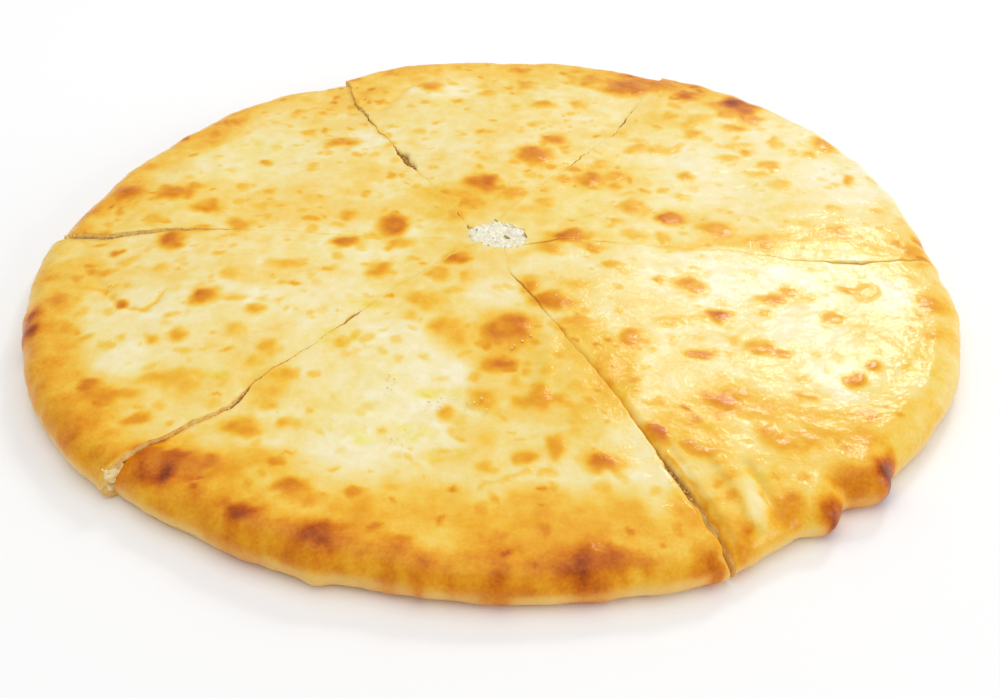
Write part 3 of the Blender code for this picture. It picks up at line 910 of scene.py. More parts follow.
class Wedge:
    """A section swept across one slice, as a closed mesh."""

    def __init__(self, section: Section, piece: Slice, sweep_step: float) -> None:
        """Sweeps the section.

        Args:
            section: The cross-section.
            piece: The slice that it fills.
            sweep_step: How far apart the sweep's steps are at the rim.
        """
        self.piece = piece
        mid = np.array([PLAIN_RADIUS])
        turn = (piece.second_cut.heading(mid) - piece.first_cut.heading(mid))[0]
        self.steps = round(turn * PLAIN_RADIUS / sweep_step)
        even = np.linspace(0.0, 1.0, self.steps + 1)
        shares = even + EDGE_PULL * (eased(even) - even)
        points = np.array(section.points)
        self.across = np.repeat(shares, len(points))
        self.plain = np.tile(points[:, 0], len(shares))
        self.height = np.tile(points[:, 1], len(shares))
        facing = np.zeros((len(points), 2))
        for number, direction in section.outside.items():
            facing[number] = direction
        self.facing = np.tile(facing, (len(shares), 1))
        self.faces, self.torn = self.swept_faces(section, len(points))

    def swept_faces(self, section: Section, count: int) -> tuple[list, list]:
        """Faces of the sweep, and whether each one is a cut or inner face and not outside."""
        faces, torn = [], []
        for cell in section.cells:
            faces.append(cell)
            faces.append([number + self.steps * count for number in reversed(cell)])
            torn += [1, 1]
        for start, end in section.edges():
            inner = 0 if start in section.outside and end in section.outside else 1
            for step in range(self.steps):
                low, high = step * count, (step + 1) * count
                faces.append([end + low, start + low, start + high, end + high])
                torn.append(inner)
        return faces, torn

    def mesh(self, name: str, points: np.ndarray, materials: list[bpy.types.Material],
             bake: np.ndarray | None = None) -> bpy.types.Object:
        """Makes the object.

        Args:
            name: The piece's name.
            points: Places of all its points.
            materials: The outside's material and the cut faces' material.
            bake: A colour for each point, if the outside's material reads one: browning, yellow,
                rim share and side share.

        Returns:
            The object, in the scene.
        """
        mesh = bpy.data.meshes.new(name)
        mesh.from_pydata(points.tolist(), [], self.faces)
        if bake is not None:
            layer = mesh.attributes.new("bake", "FLOAT_COLOR", "POINT")
            layer.data.foreach_set("color", bake.astype(np.float32).ravel())
        for material in materials:
            mesh.materials.append(material)
        mesh.polygons.foreach_set("material_index", self.torn)
        mesh.shade_smooth()
        mesh.set_sharp_from_angle(angle=math.radians(SHARP_ANGLE))
        mesh.validate()
        piece = bpy.data.objects.new(name, mesh)
        bpy.context.scene.collection.objects.link(piece)
        return piece


class Crust(Wedge):
    """The folded, baked dough of one slice."""

    NOSE_LUMPS = ((0.009, 0.0005, 301), (0.003, 0.0002, 302))
    SIDE_MOTTLE = ((0.012, 0.10, 303),)
    UNDERSIDE_MOTTLE = ((0.020, 0.16, 304),)
    UNDERSIDE_BAKE = 0.50
    # The relief grows from one height at the torn middle by another on the way out.
    LEAST_RELIEF = 0.0002
    MORE_RELIEF = 0.0008
    RELIEF_START = 0.020
    RELIEF_RUN = 0.030
    NOSE_RELIEF_SHARE = 0.6
    NOSE_START = 0.010
    NOSE_RUN = 0.008
    RIM_SHARE_WIDTH = 0.030
    PALE_LIP = 0.3
    # How far up a face looks, from -1 to 1, where the relief, the side and the underside begin.
    RELIEF_FACING = -0.7
    SIDE_FACING = 0.45
    SIDE_FACING_RUN = 0.5
    UNDERSIDE_FACING = -0.9
    LEAST_SIDE_BAKE = 0.14
    SIDE_BAKE_SHARE = 0.42
    SIDE_STRENGTH = 0.85
    # The side's own colour fades where it has browned this far, over this much more.
    BROWN_SIDE = 0.50
    BROWN_SIDE_RUN = 0.30

    def __init__(self, piece: Slice) -> None:
        """Sweeps the dough's section across the slice."""
        super().__init__(crust_section(), piece, SWEEP_STEP)

    def build(self, skin: Skin, materials: list[bpy.types.Material]) -> bpy.types.Object:
        """Makes the crust with its relief and its browning.

        The browning also holds painted shade along the cuts and in some creases, and painted sheen
        on right_back and right_front.
        """
        piece = self.piece
        placed = piece.place(self.plain, self.height, self.across, CRUST_DEEP_GAP)
        east, north, up = placed["east"], placed["north"], placed["up"]
        outside = np.abs(self.facing).sum(axis=1) > 0
        upward = self.facing[:, 1]
        relief = skin.relief(east, north)
        nose = eased((self.plain - PLAIN_RADIUS + self.NOSE_START) / self.NOSE_RUN)
        arc = placed["heading"] * PLAIN_RADIUS
        lumpy = self.NOSE_RELIEF_SHARE * relief + layered(self.NOSE_LUMPS, arc, up)
        relief = relief * (1.0 - nose) + lumpy * nose
        growth = eased((self.plain - self.RELIEF_START) / self.RELIEF_RUN)
        relief = np.minimum(relief, self.LEAST_RELIEF + self.MORE_RELIEF * growth)
        relief = np.where(outside & (upward > self.RELIEF_FACING), relief, 0.0)
        outward = self.facing[:, 0] * relief
        points = np.column_stack((east + outward * np.cos(placed["heading"]),
                                  north + outward * np.sin(placed["heading"]),
                                  up + upward * relief))

        edge = along(piece.radii, self.across) - placed["distance"]
        rim_bake = along(piece.rim_bake, self.across)
        brown = skin.browning(east, north, edge, rim_bake)
        side = eased((self.SIDE_FACING - upward) / self.SIDE_FACING_RUN)
        side_bake = self.LEAST_SIDE_BAKE + self.SIDE_BAKE_SHARE * rim_bake
        side_bake += layered(self.SIDE_MOTTLE, arc, up)
        brown += (side_bake - brown) * side * self.SIDE_STRENGTH
        brown = skin.blistered(east, north, brown)
        # Painted shade: a thin brown line along each cut stands for the shade in the cuts' gaps.
        brown = piece.painted_cut_shade(placed, brown)
        brown *= 1.0 - self.PALE_LIP * eased(1.0 - (self.plain - PLAIN_TEAR) / LIP_WIDTH)
        underside = self.UNDERSIDE_BAKE + layered(self.UNDERSIDE_MOTTLE, east, north)
        brown = np.where(upward < self.UNDERSIDE_FACING, underside, brown)
        rim = eased(1.0 - edge / self.RIM_SHARE_WIDTH)
        side *= 1.0 - eased((brown - self.BROWN_SIDE) / self.BROWN_SIDE_RUN)
        yellow = skin.buttered(east, north)
        bake = np.column_stack((np.clip(brown, 0.0, 1.0), yellow, rim, side))
        return self.mesh(f"crust_{piece.name}_baked", points, materials, bake)


class Filling(Wedge):
    """The curd cheese of one slice, heaped up in the torn middle."""

    CRUMBLE = ((0.0032, 0.0007, 311), (0.0013, 0.0005, 312))

    def __init__(self, piece: Slice) -> None:
        """Sweeps the filling's section across the slice."""
        super().__init__(filling_section(), piece, FILLING_SWEEP_STEP)

    def build(self, materials: list[bpy.types.Material]) -> bpy.types.Object:
        """Makes the filling with its crumbly heap."""
        piece = self.piece
        placed = piece.place(self.plain, self.height, self.across, CHEESE_DEEP_GAP)
        east, north, up = placed["east"], placed["north"], placed["up"]
        heap = self.facing[:, 1] > 0.5
        up = up + np.where(heap, layered(self.CRUMBLE, east, north), 0.0)
        points = np.column_stack((east, north, up))
        return self.mesh(f"cheese_{piece.name}_curd", points, materials)


def linear(hex_colour: str) -> tuple[float, float, float, float]:
    """An sRGB hex colour as Blender's linear colour."""
    channels = []
    for start in (1, 3, 5):
        value = int(hex_colour[start:start + 2], 16) / 255.0
        channels.append(value / 12.92 if value <= 0.04045 else ((value + 0.055) / 1.055) ** 2.4)
    return (*channels, 1.0)


def add_node(tree: bpy.types.NodeTree, kind: str, inputs: dict | None = None,
             stops: tuple = (), **settings: object) -> bpy.types.Node:
    """Adds a node with its settings and links.

    Args:
        tree: The node tree.
        kind: The node's type.
        inputs: A value, or an output socket to link, for each input's name or number.
        stops: A colour ramp's (position, hex colour) pairs.
        settings: The node's own properties.

    Returns:
        The new node.
    """
    node = tree.nodes.new(kind)
    for name, value in settings.items():
        setattr(node, name, value)
    for number, (position, colour) in enumerate(stops):
        elements = node.color_ramp.elements
        element = elements[number] if number < 2 else elements.new(position)
        element.position = position
        element.color = linear(colour)
    for name, value in (inputs or {}).items():
        socket = node.inputs[name]
        if isinstance(value, bpy.types.NodeSocket):
            tree.links.new(value, socket)
        else:
            socket.default_value = value
    return node


def computed(tree: bpy.types.NodeTree, operation: str, *values: object) -> bpy.types.NodeSocket:
    """The result of a maths node on values or sockets."""
    return add_node(tree, "ShaderNodeMath", dict(enumerate(values)),
                    operation=operation).outputs[0]


def grainy(tree: bpy.types.NodeTree, place: bpy.types.NodeSocket, size: float, detail: float,
           roughness: float = 0.5) -> bpy.types.NodeSocket:
    """A noise whose lumps have the given size on the bread."""
    return add_node(tree, "ShaderNodeTexNoise", {
        "Vector": place, "Scale": 1.0 / size, "Detail": detail,
        "Roughness": roughness}).outputs[0]


def blank_material(name: str) -> tuple[bpy.types.Material, bpy.types.NodeTree, bpy.types.Node]:
    """A new material with its tree and its Principled shader."""
    material = bpy.data.materials.new(name)
    material.use_nodes = True
    tree = material.node_tree
    return material, tree, tree.nodes["Principled BSDF"]


@dataclass(frozen=True)
class ButteredCrust:
    """Wheat dough, oven baked and brushed with melted butter.

    Cream where it stayed pale, yellow where butter soaked in, golden to burnt brown on blisters
    and on the rim; a soft skin with a thin gloss.
    """

    browning: tuple = (
        (0.00, "#F9F1D4"), (0.10, "#F6E8B6"), (0.20, "#F5DF94"), (0.30, "#F5D373"),
        (0.40, "#F5C84E"), (0.50, "#F2B530"), (0.60, "#EBA01A"), (0.70, "#DF880C"),
        (0.82, "#C96804"), (0.92, "#AC4E02"), (1.00, "#843708"),
    )
    butter: str = "#F8F27C"
    side: str = "#EEC27C"
    mottle_size: float = 0.0055
    mottle_share: float = 0.34
    grain_size: float = 0.0011
    grain_share: float = 0.06
    rim_grain_share: float = 0.14
    butter_size: float = 0.0065
    butter_share: float = 0.75
    side_share: float = 0.55
    dimple_size: float = 0.0038
    dimple_depth: float = 0.0008
    dimple_strength: float = 0.28
    grain_depth: float = 0.0003
    grain_strength: float = 0.30
    ripple_size: float = 0.0040
    ripple_depth: float = 0.0006
    ripple_strength: float = 0.58
    roughness: float = 0.36
    roughness_spread: float = 0.08
    gloss: tuple = (("Specular IOR Level", 0.10), ("Coat Weight", 0.28),
                    ("Coat Roughness", 0.08), ("Coat IOR", 1.46))

    def material(self) -> bpy.types.Material:
        """Builds the finish."""
        material, tree, surface = blank_material("buttered_baked_dough")
        place = add_node(tree, "ShaderNodeTexCoord").outputs["Object"]
        bake = add_node(tree, "ShaderNodeAttribute", attribute_name="bake")
        parts = add_node(tree, "ShaderNodeSeparateColor", {"Color": bake.outputs["Color"]})
        brown, yellow, rim = parts.outputs
        mottle = grainy(tree, place, self.mottle_size, 4.0, 0.6)
        grain = grainy(tree, place, self.grain_size, 2.0, 0.6)
        pools = grainy(tree, place, self.butter_size, 2.0)
        dimples = grainy(tree, place, self.dimple_size, 3.0)
        ripples = grainy(tree, place, self.ripple_size, 3.0)

        grain_reach = computed(tree, "MULTIPLY_ADD", rim, self.rim_grain_share, self.grain_share)
        centred_mottle = computed(tree, "SUBTRACT", mottle, 0.5)
        centred_grain = computed(tree, "SUBTRACT", grain, 0.5)
        with_mottle = computed(tree, "MULTIPLY_ADD", centred_mottle, self.mottle_share, brown)
        level = computed(tree, "MULTIPLY_ADD", centred_grain, grain_reach, with_mottle)
        crust = add_node(tree, "ShaderNodeValToRGB", {"Fac": level}, stops=self.browning)
        pool_share = add_node(tree, "ShaderNodeMapRange", {
            "Value": pools, "From Min": 0.36, "From Max": 0.56, "To Max": self.butter_share})
        with_butter = add_node(tree, "ShaderNodeMix", {
            0: computed(tree, "MULTIPLY", pool_share.outputs[0], yellow),
            6: crust.outputs["Color"], 7: linear(self.butter)},
            data_type="RGBA", blend_type="MULTIPLY")
        with_side = add_node(tree, "ShaderNodeMix", {
            0: computed(tree, "MULTIPLY", bake.outputs["Alpha"], self.side_share),
            6: with_butter.outputs[2], 7: linear(self.side)}, data_type="RGBA")

        roughness = add_node(tree, "ShaderNodeMapRange", {
            "Value": mottle, "From Min": 0.3, "From Max": 0.7,
            "To Min": self.roughness + self.roughness_spread,
            "To Max": self.roughness - self.roughness_spread})
        dimpled = add_node(tree, "ShaderNodeBump", {
            "Height": dimples, "Strength": self.dimple_strength,
            "Distance": self.dimple_depth})
        bump = add_node(tree, "ShaderNodeBump", {
            "Height": grain, "Strength": self.grain_strength,
            "Distance": self.grain_depth, "Normal": dimpled.outputs[0]})
        coat_bump = add_node(tree, "ShaderNodeBump", {
            "Height": ripples, "Strength": self.ripple_strength,
            "Distance": self.ripple_depth})
        tree.links.new(with_side.outputs[2], surface.inputs["Base Color"])
        tree.links.new(roughness.outputs[0], surface.inputs["Roughness"])
        tree.links.new(bump.outputs[0], surface.inputs["Normal"])
        tree.links.new(coat_bump.outputs[0], surface.inputs["Coat Normal"])
        for name, value in self.gloss:
            surface.inputs[name].default_value = value
        return material


@dataclass(frozen=True)
class TwoToneFinish:
    """A grainy finish in two tones, for all that isn't the bread's skin."""

    name: str
    light: str
    dark: str
    grain_size: float
    bump: float
    roughness: float

    def material(self) -> bpy.types.Material:
        """Builds the finish."""
        material, tree, surface = blank_material(self.name)
        place = add_node(tree, "ShaderNodeTexCoord").outputs["Object"]
        grain = grainy(tree, place, self.grain_size, 4.0, 0.6)
        tone = add_node(tree, "ShaderNodeValToRGB", {"Fac": grain},
                        stops=((0.32, self.dark), (0.62, self.light)))
        bump = add_node(tree, "ShaderNodeBump", {
            "Height": grain, "Strength": 0.7, "Distance": self.bump})
        tree.links.new(tone.outputs["Color"], surface.inputs["Base Color"])
        tree.links.new(bump.outputs[0], surface.inputs["Normal"])
        surface.inputs["Roughness"].default_value = self.roughness
        return material


# Cut dough: the soft inside of the bread along the knife, with no gloss. Its golden crumb colour
# is made deeper and warmer than the torn flakes' as painted warm shade, for the faces in the gaps.
CUT_DOUGH_AND_GAP_SHADE = TwoToneFinish("cut_dough_crumb", "#F8D684", "#E8B050", 0.0016, 0.0006, 0.80)
# Torn dough: pale flakes of the soft inside, open-pored.
TORN_DOUGH = TwoToneFinish("torn_dough_flake", "#FBEBB8", "#EFCF84", 0.0030, 0.0006, 0.80)
# Curd cheese: white, moist and crumbly, with butter-yellow hollows.
CURD_CHEESE = TwoToneFinish("fresh_curd_cheese", "#F7F2E2", "#E2D9AA", 0.0022, 0.0005, 0.50)
# The same cheese where the knife went through, stained by butter.
CUT_CHEESE = TwoToneFinish("buttered_curd_cheese", "#FFF1B4", "#F7D36E", 0.0020, 0.0006, 0.60)
# Chopped dill and parsley, cooked to olive green in the filling.
HERB_LEAF = TwoToneFinish("cooked_herb_leaf", "#B9B03C", "#7A7A28", 0.0008, 0.0002, 0.55)
# Toasted crumbs that broke off the crust along the knife.
TOASTED_CRUMB = TwoToneFinish("toasted_crumb", "#DDAE58", "#A07428", 0.0010, 0.0003, 0.75)
# Melted butter in small round beads, pale and very glossy.
BUTTER_BEAD = TwoToneFinish("melted_butter_bead", "#F6DC90", "#F0CC70", 0.0020, 0.0001, 0.08)
# A plain matt white studio floor.
WHITE_FLOOR = TwoToneFinish("white_studio_floor", "#FDFDFD", "#FCFCFC", 0.2000, 0.0001, 0.90)


@dataclass
class Scatter:
    """Small lumps set on given seats and turned every way."""

    name: str
    slot: str
    finish: TwoToneFinish
    flatness: float
    lumpiness: float
    tilt: float
    seed: int
    roundness: int = 2
    seats: list[tuple] = field(default_factory=list)

    LEAST_SPACING = 0.0006

    def tree(self) -> bpy.types.NodeTree:
        """The geometry tree that puts a lump on each seat."""
        tree = bpy.data.node_groups.new(f"{self.name}_tree", "GeometryNodeTree")
        sockets = (("Seats", "NodeSocketGeometry"), ("Flatness", "NodeSocketFloat"),
                   ("Lumpiness", "NodeSocketFloat"), ("Lump Spacing", "NodeSocketFloat"),
                   ("Tilt", "NodeSocketFloat"), ("Finish", "NodeSocketMaterial"),
                   ("Seed", "NodeSocketInt"))
        for name, kind in sockets:
            tree.interface.new_socket(name, in_out="INPUT", socket_type=kind)
        tree.interface.new_socket("Lumps", in_out="OUTPUT", socket_type="NodeSocketGeometry")
        given = add_node(tree, "NodeGroupInput").outputs
        ball = add_node(tree, "GeometryNodeMeshIcoSphere", {
            "Radius": 0.5, "Subdivisions": self.roundness})
        size = add_node(tree, "GeometryNodeInputNamedAttribute", {"Name": "size"},
                        data_type="FLOAT")
        shape = add_node(tree, "FunctionNodeRandomValue", {
            0: (0.75, 0.75, 0.85), 1: (1.30, 1.30, 1.10), "Seed": given["Seed"]},
            data_type="FLOAT_VECTOR")
        flat = add_node(tree, "ShaderNodeCombineXYZ", {
            "X": 1.0, "Y": 1.0, "Z": given["Flatness"]})
        shaped = add_node(tree, "ShaderNodeVectorMath", {
            0: shape.outputs[0], 1: flat.outputs[0]}, operation="MULTIPLY")
        scaled = add_node(tree, "ShaderNodeVectorMath", {
            0: shaped.outputs[0], "Scale": size.outputs[0]}, operation="SCALE")
        least = computed(tree, "MULTIPLY", given["Tilt"], -1.0)
        low_turn = add_node(tree, "ShaderNodeCombineXYZ", {"X": least, "Y": least, "Z": 0.0})
        high_turn = add_node(tree, "ShaderNodeCombineXYZ", {
            "X": given["Tilt"], "Y": given["Tilt"], "Z": 2.0 * math.pi})
        turn = add_node(tree, "FunctionNodeRandomValue", {
            0: low_turn.outputs[0], 1: high_turn.outputs[0], "Seed": given["Seed"]},
            data_type="FLOAT_VECTOR")
        lumps = add_node(tree, "GeometryNodeInstanceOnPoints", {
            "Points": given["Seats"], "Instance": ball.outputs["Mesh"],
            "Rotation": turn.outputs[0], "Scale": scaled.outputs[0]})
        real = add_node(tree, "GeometryNodeRealizeInstances", {
            "Geometry": lumps.outputs["Instances"]})
        noise = add_node(tree, "ShaderNodeTexNoise", {
            "Scale": computed(tree, "DIVIDE", 1.0, given["Lump Spacing"]), "Detail": 2.0})
        centred = add_node(tree, "ShaderNodeVectorMath", {
            0: noise.outputs["Color"], 1: (0.5, 0.5, 0.5)}, operation="SUBTRACT")
        pushed = add_node(tree, "ShaderNodeVectorMath", {
            0: centred.outputs[0], "Scale": given["Lumpiness"]}, operation="SCALE")
        moved = add_node(tree, "GeometryNodeSetPosition", {
            "Geometry": real.outputs["Geometry"], "Offset": pushed.outputs[0]})
        smooth = add_node(tree, "GeometryNodeSetShadeSmooth", {
            "Geometry": moved.outputs["Geometry"]})
        finished = add_node(tree, "GeometryNodeSetMaterial", {
            "Geometry": smooth.outputs["Geometry"], "Material": given["Finish"]})
        add_node(tree, "NodeGroupOutput", {"Lumps": finished.outputs["Geometry"]})
        return tree

    def build(self) -> bpy.types.Object:
        """Makes all the lumps as one plain mesh."""
        points = np.array(self.seats)
        mesh = bpy.data.meshes.new(self.name)
        mesh.from_pydata(points[:, :3].tolist(), [], [])
        size = mesh.attributes.new("size", "FLOAT", "POINT")
        size.data.foreach_set("value", points[:, 3].astype(np.float32))
        piece = bpy.data.objects.new(self.name, mesh)
        bpy.context.scene.collection.objects.link(piece)
        tree = self.tree()
        values = {"Flatness": self.flatness, "Lumpiness": self.lumpiness,
                  "Lump Spacing": max(self.LEAST_SPACING, float(points[:, 3].mean())),
                  "Tilt": self.tilt, "Finish": self.finish.material(), "Seed": self.seed}
        modifier = piece.modifiers.new("scatter", "NODES")
        modifier.node_group = tree
        for item in tree.interface.items_tree:
            if item.name in values:
                modifier[item.identifier] = values[item.name]
        evaluated = piece.evaluated_get(bpy.context.evaluated_depsgraph_get())
        plain = bpy.data.meshes.new_from_object(evaluated)
        piece.modifiers.remove(modifier)
        piece.data = plain
        plain.name = self.name
        return piece


class Toppings:
    """The curds, herb flecks, crumbs, torn flakes and butter beads, and where they lie."""

    # On each slice's part of the heap, and over its torn lip.
    HEAP_CURDS = 14
    HEAP_CURD_WIDTHS = (0.0026, 0.0060)
    LIP_CURDS = 16
    LIP_CURD_WIDTHS = (0.0015, 0.0030)
    LIP_RISE = 0.0012
    HEAP_CURD_RISE = 0.0008
    HERB_RISE = 0.0006
    BEAD_RISE = 0.0002
    CRUMB_DRIFT = 0.0004
    CRUMB_DROP = 0.0010
    BEAD_DRIFTS = (2.6, 2.2)
    BEAD_WIDTHS = (0.0005, 0.0010)
    HERBS = (
        # Distance and heading of each fleck, and its width in millimetres.
        (3, 335, 2.0), (8, 239, 1.1), (8, 285, 0.6), (3, 223, 0.5), (9.5, 98, 1.1), (9, 158, 0.8),
        (8, 19, 0.6), (5, 255, 0.5),
    )
    CRUMB_RUNS = (
        # Cut, first and last distance, how many, largest crumb, how deep the crumbs lie.
        (CUT_BACK, 0.058, 0.078, 40, 0.0011, 0.0012), (CUT_BACK, 0.090, 0.130, 30, 0.0007, 0.0006),
        (CUT_BACK_RIGHT, 0.050, 0.120, 60, 0.0007, 0.0006),
        (CUT_FRONT, 0.104, 0.140, 60, 0.0014, 0.0026),
        (CUT_LEFT, 0.116, 0.156, 50, 0.0009, 0.0006),
        (CUT_RIGHT, 0.016, 0.028, 16, 0.0008, 0.0008),
        (CUT_FRONT, 0.026, 0.045, 14, 0.0007, 0.0010),
    )
    FACE_RUNS = (
        # Slice, first and last distance, lowest and highest place, how many, largest flake.
        (SLICES[3], 0.153, 0.1650, 0.002, 0.0105, 60, 0.0044),
        (SLICES[3], 0.112, 0.134, 0.0136, 0.0144, 26, 0.0013),
        (SLICES[2], 0.130, 0.1620, 0.0080, 0.0135, 60, 0.0013),
    )
    BEAD_GROUPS = (
        # Distance and heading of a group, how many beads.
        (86, 247, 5), (91, 258, 5), (89, 266, 5), (111, 254, 4), (60, 277, 6), (123, 286, 4),
    )

    def __init__(self, seed: int = 17) -> None:
        """Names the five kinds.

        Args:
            seed: The seed of every choice of place.
        """
        self.chance = np.random.default_rng(seed)
        self.curds = Scatter("curds", "curd_cheese", CURD_CHEESE, 0.55, 0.0014, 0.4, 3, 3)
        self.herbs = Scatter("herb_flecks", "curd_cheese", HERB_LEAF, 0.22, 0.0003, 0.5, 4)
        self.crumbs = Scatter("crumbs", "baked_crust", TOASTED_CRUMB, 0.8, 0.0005, math.pi, 5)
        self.torn = Scatter("torn_flakes", "baked_crust", TORN_DOUGH, 0.6, 0.0014, math.pi, 7)
        self.beads = Scatter("butter_beads", "baked_crust", BUTTER_BEAD, 0.6, 0.0, 0.3, 6)

    def seat(self, scatter: Scatter, distance: float, heading: float, height: float,
             size: float) -> None:
        """Adds one seat.

        Args:
            scatter: The kind that sits there.
            distance: Distance from the hub in metres.
            heading: Heading in radians.
            height: Height of the lump's middle.
            size: The lump's width.
        """
        scatter.seats.append((HUB[0] + distance * math.cos(heading),
                              HUB[1] + distance * math.sin(heading), height, size))

    def fill_heap(self, piece: Slice) -> None:
        """Lays curds on one slice's part of the heap, and small ones over its torn lip."""
        for _ in range(self.HEAP_CURDS):
            across = self.chance.uniform(0.0, 1.0)
            size = self.chance.uniform(*self.HEAP_CURD_WIDTHS)
            reach = self.lip(piece, across) - 0.05 * size
            distance = max(0.0006, reach * math.sqrt(self.chance.uniform(0.0, 1.0)))
            heading = self.heading(piece, distance, across)
            height = HEAP_HEIGHT + self.HEAP_CURD_RISE - 0.20 * size
            self.seat(self.curds, distance, heading, height, size)
        for number in range(self.LIP_CURDS):
            across = (number + self.chance.uniform(0.0, 1.0)) / self.LIP_CURDS
            size = self.chance.uniform(*self.LIP_CURD_WIDTHS)
            distance = self.lip(piece, across) + self.chance.uniform(-0.35, 0.30) * size
            heading = self.heading(piece, distance, across)
            rise = self.LIP_RISE * math.sin(heading)
            self.seat(self.curds, distance, heading, HEAP_HEIGHT + rise - 0.15 * size, size)

    def lip(self, piece: Slice, across: float) -> float:
        """How far from the hub a slice's top dough stops."""
        return float(along(piece.tear, np.array([across]))[0])

    def heading(self, piece: Slice, distance: float, across: float) -> float:
        """Heading of a place between a slice's two cuts."""
        start = piece.first_cut.heading(np.array([distance]))[0]
        end = piece.second_cut.heading(np.array([distance]))[0]
        return start + (end - start) * across

    def line_cut(self, cut: Cut, start: float, end: float, count: int, largest: float,
                 depth: float) -> None:
        """Lays crumbs in a cut, between two distances from the hub.

        Args:
            cut: The cut.
            start: First distance from the hub.
            end: Last distance from the hub.
            count: How many crumbs.
            largest: The width of the largest.
            depth: How far below the plain top they lie.
        """
        for _ in range(count):
            distance = self.chance.uniform(start, end)
            size = self.chance.uniform(0.35, 1.0) * largest
            aside = self.chance.normal(0.0, self.CRUMB_DRIFT)
            heading = cut.heading(np.array([distance]))[0] + aside / distance
            height = top_height(distance) - depth - self.chance.uniform(0.0, self.CRUMB_DROP)
            self.seat(self.crumbs, distance, heading, height, size)

    def roughen_face(self, piece: Slice, start: float, end: float, low: float, high: float,
                     count: int, largest: float) -> None:
        """Lays torn flakes on the face of a slice's second cut.

        Args:
            piece: The slice.
            start: First distance from the hub.
            end: Last distance from the hub.
            low: Lowest height.
            high: Highest height.
            count: How many flakes.
            largest: The width of the largest.
        """
        for _ in range(count):
            distance = self.chance.uniform(start, end)
            size = self.chance.uniform(0.4, 1.0) * largest
            inside = self.chance.uniform(0.0, 0.35) * size
            place = np.array([distance])
            heading = piece.second_cut.side(place, -1, np.ones(1))[0] - inside / distance
            self.seat(self.torn, distance, heading, self.chance.uniform(low, high), size)

    def drop_beads(self, distance: float, heading: float, count: int) -> None:
        """Lays a group of butter beads round a place in millimetres and degrees."""
        outward, sideways = self.BEAD_DRIFTS
        for _ in range(count):
            away = (distance + self.chance.normal(0.0, outward)) * MM
            turn = math.radians(heading) + self.chance.normal(0.0, sideways) * MM / away
            size = self.chance.uniform(*self.BEAD_WIDTHS)
            self.seat(self.beads, away, turn, top_height(away) + self.BEAD_RISE, size)

    def build(self) -> list[tuple[bpy.types.Object, Scatter]]:
        """Fills every kind's seats and makes the pieces."""
        for piece in SLICES:
            self.fill_heap(piece)
        for distance, heading, width in self.HERBS:
            self.seat(self.herbs, distance * MM, math.radians(heading),
                      MIDDLE_HEIGHT + self.HERB_RISE, width * MM)
        for run in self.CRUMB_RUNS:
            self.line_cut(*run)
        for face in self.FACE_RUNS:
            self.roughen_face(*face)
        for group in self.BEAD_GROUPS:
            self.drop_beads(*group)
        kinds = (self.curds, self.herbs, self.crumbs, self.torn, self.beads)
        return [(scatter.build(), scatter) for scatter in kinds]


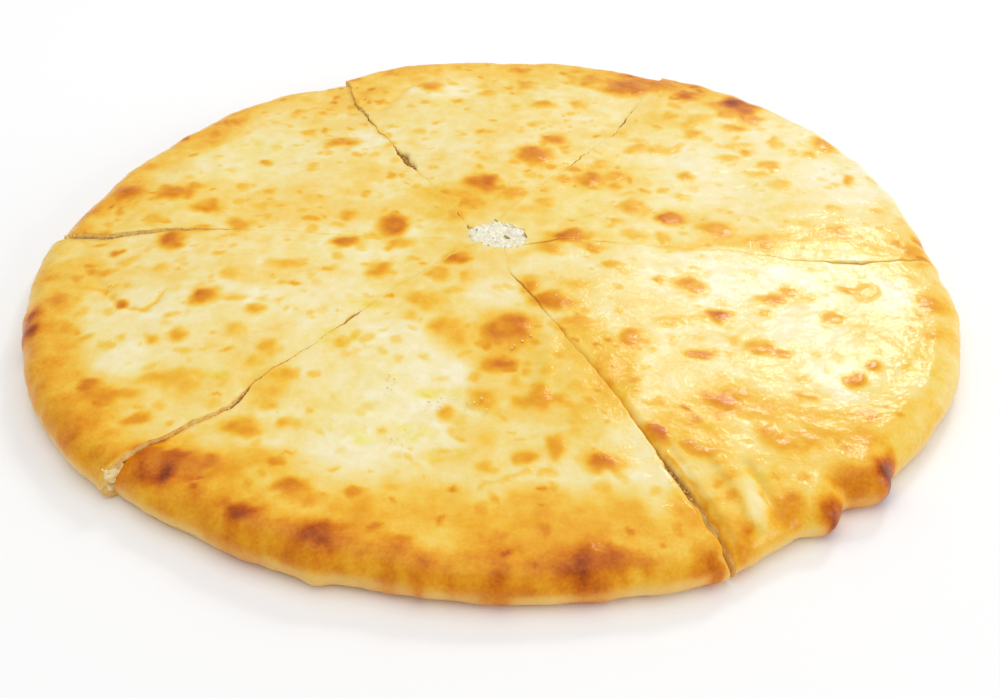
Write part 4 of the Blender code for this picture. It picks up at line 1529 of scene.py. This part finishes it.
@dataclass
class Studio:
    """A white floor, soft lights and the camera."""

    camera_place: tuple = (0.004425, -0.389214, 0.284036)
    camera_pitch: float = 39.138
    lens: float = 46.73
    sensor: float = 36.0
    floor_size: float = 6.0
    world_strength: float = 0.55
    lights: tuple = (
        # Name, place, width and height, power in watts.
        ("window", (0.62, 1.18, 1.00), (0.20, 0.26), 2.8),
        ("window_low", (0.42, 1.04, 1.00), (0.44, 0.15), 2.2),
        ("window_far", (0.53, 1.85, 1.00), (0.50, 0.36), 0.4),
        ("overhead", (-0.10, 0.05, 2.00), (2.40, 2.40), 16.5),
        ("side", (2.20, -0.80, 0.80), (1.00, 1.00), 13.0),
    )

    def floor(self) -> bpy.types.Object:
        """The floor, which isn't part of the bread."""
        half = 0.5 * self.floor_size
        mesh = bpy.data.meshes.new("floor")
        mesh.from_pydata([(-half, -half, 0), (half, -half, 0), (half, half, 0), (-half, half, 0)],
                         [], [(0, 1, 2, 3)])
        mesh.materials.append(WHITE_FLOOR.material())
        floor = bpy.data.objects.new("floor", mesh)
        bpy.context.scene.collection.objects.link(floor)
        return floor

    def softbox(self, name: str, place: tuple, size: tuple, power: float) -> None:
        """A rectangular soft light that points at the bread.

        Args:
            name: Its name.
            place: Where it stands.
            size: Its width and height.
            power: Its power in watts.
        """
        light = bpy.data.lights.new(name, "AREA")
        light.shape = "RECTANGLE"
        light.size, light.size_y = size
        light.energy = power
        lamp = bpy.data.objects.new(name, light)
        lamp.location = place
        lamp.rotation_euler = (-Vector(place)).to_track_quat("-Z", "Y").to_euler()
        bpy.context.scene.collection.objects.link(lamp)

    def build(self) -> bpy.types.Object:
        """Sets up the studio and returns its floor."""
        scene = bpy.context.scene
        scene.view_settings.view_transform = "Standard"
        scene.view_settings.look = "None"
        world = bpy.data.worlds.new("studio")
        world.use_nodes = True
        background = world.node_tree.nodes["Background"]
        background.inputs["Color"].default_value = (1.0, 1.0, 1.0, 1.0)
        background.inputs["Strength"].default_value = self.world_strength
        scene.world = world
        for light in self.lights:
            self.softbox(*light)
        camera = bpy.data.cameras.new("camera")
        camera.lens = self.lens
        camera.sensor_width = self.sensor
        camera.sensor_fit = "HORIZONTAL"
        viewer = bpy.data.objects.new("camera", camera)
        viewer.location = self.camera_place
        viewer.rotation_euler = (math.radians(90.0 - self.camera_pitch), 0.0, 0.0)
        scene.collection.objects.link(viewer)
        scene.camera = viewer
        return self.floor()


def main() -> None:
    """Builds the bread's pieces in order, then the studio."""
    skin = Skin()
    dough = [ButteredCrust().material(), CUT_DOUGH_AND_GAP_SHADE.material()]
    cheese = [CURD_CHEESE.material(), CUT_CHEESE.material()]
    for piece in SLICES:
        crust = Crust(piece).build(skin, dough)
        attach(crust, BODY)
        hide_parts(f"crust_{piece.name}")
        filling = Filling(piece).build(cheese)
        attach(filling, BODY)
        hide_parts(f"cheese_{piece.name}")
        LOG.info("%s: %d crust faces, %d filling faces", piece.name,
                 len(crust.data.polygons), len(filling.data.polygons))
    for topping, scatter in Toppings().build():
        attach(topping, BODY)
        LOG.info("%s: %d lumps, %d faces", topping.name, len(scatter.seats),
                 len(topping.data.polygons))
    Studio().build()


if __name__ == "__main__":
    main()
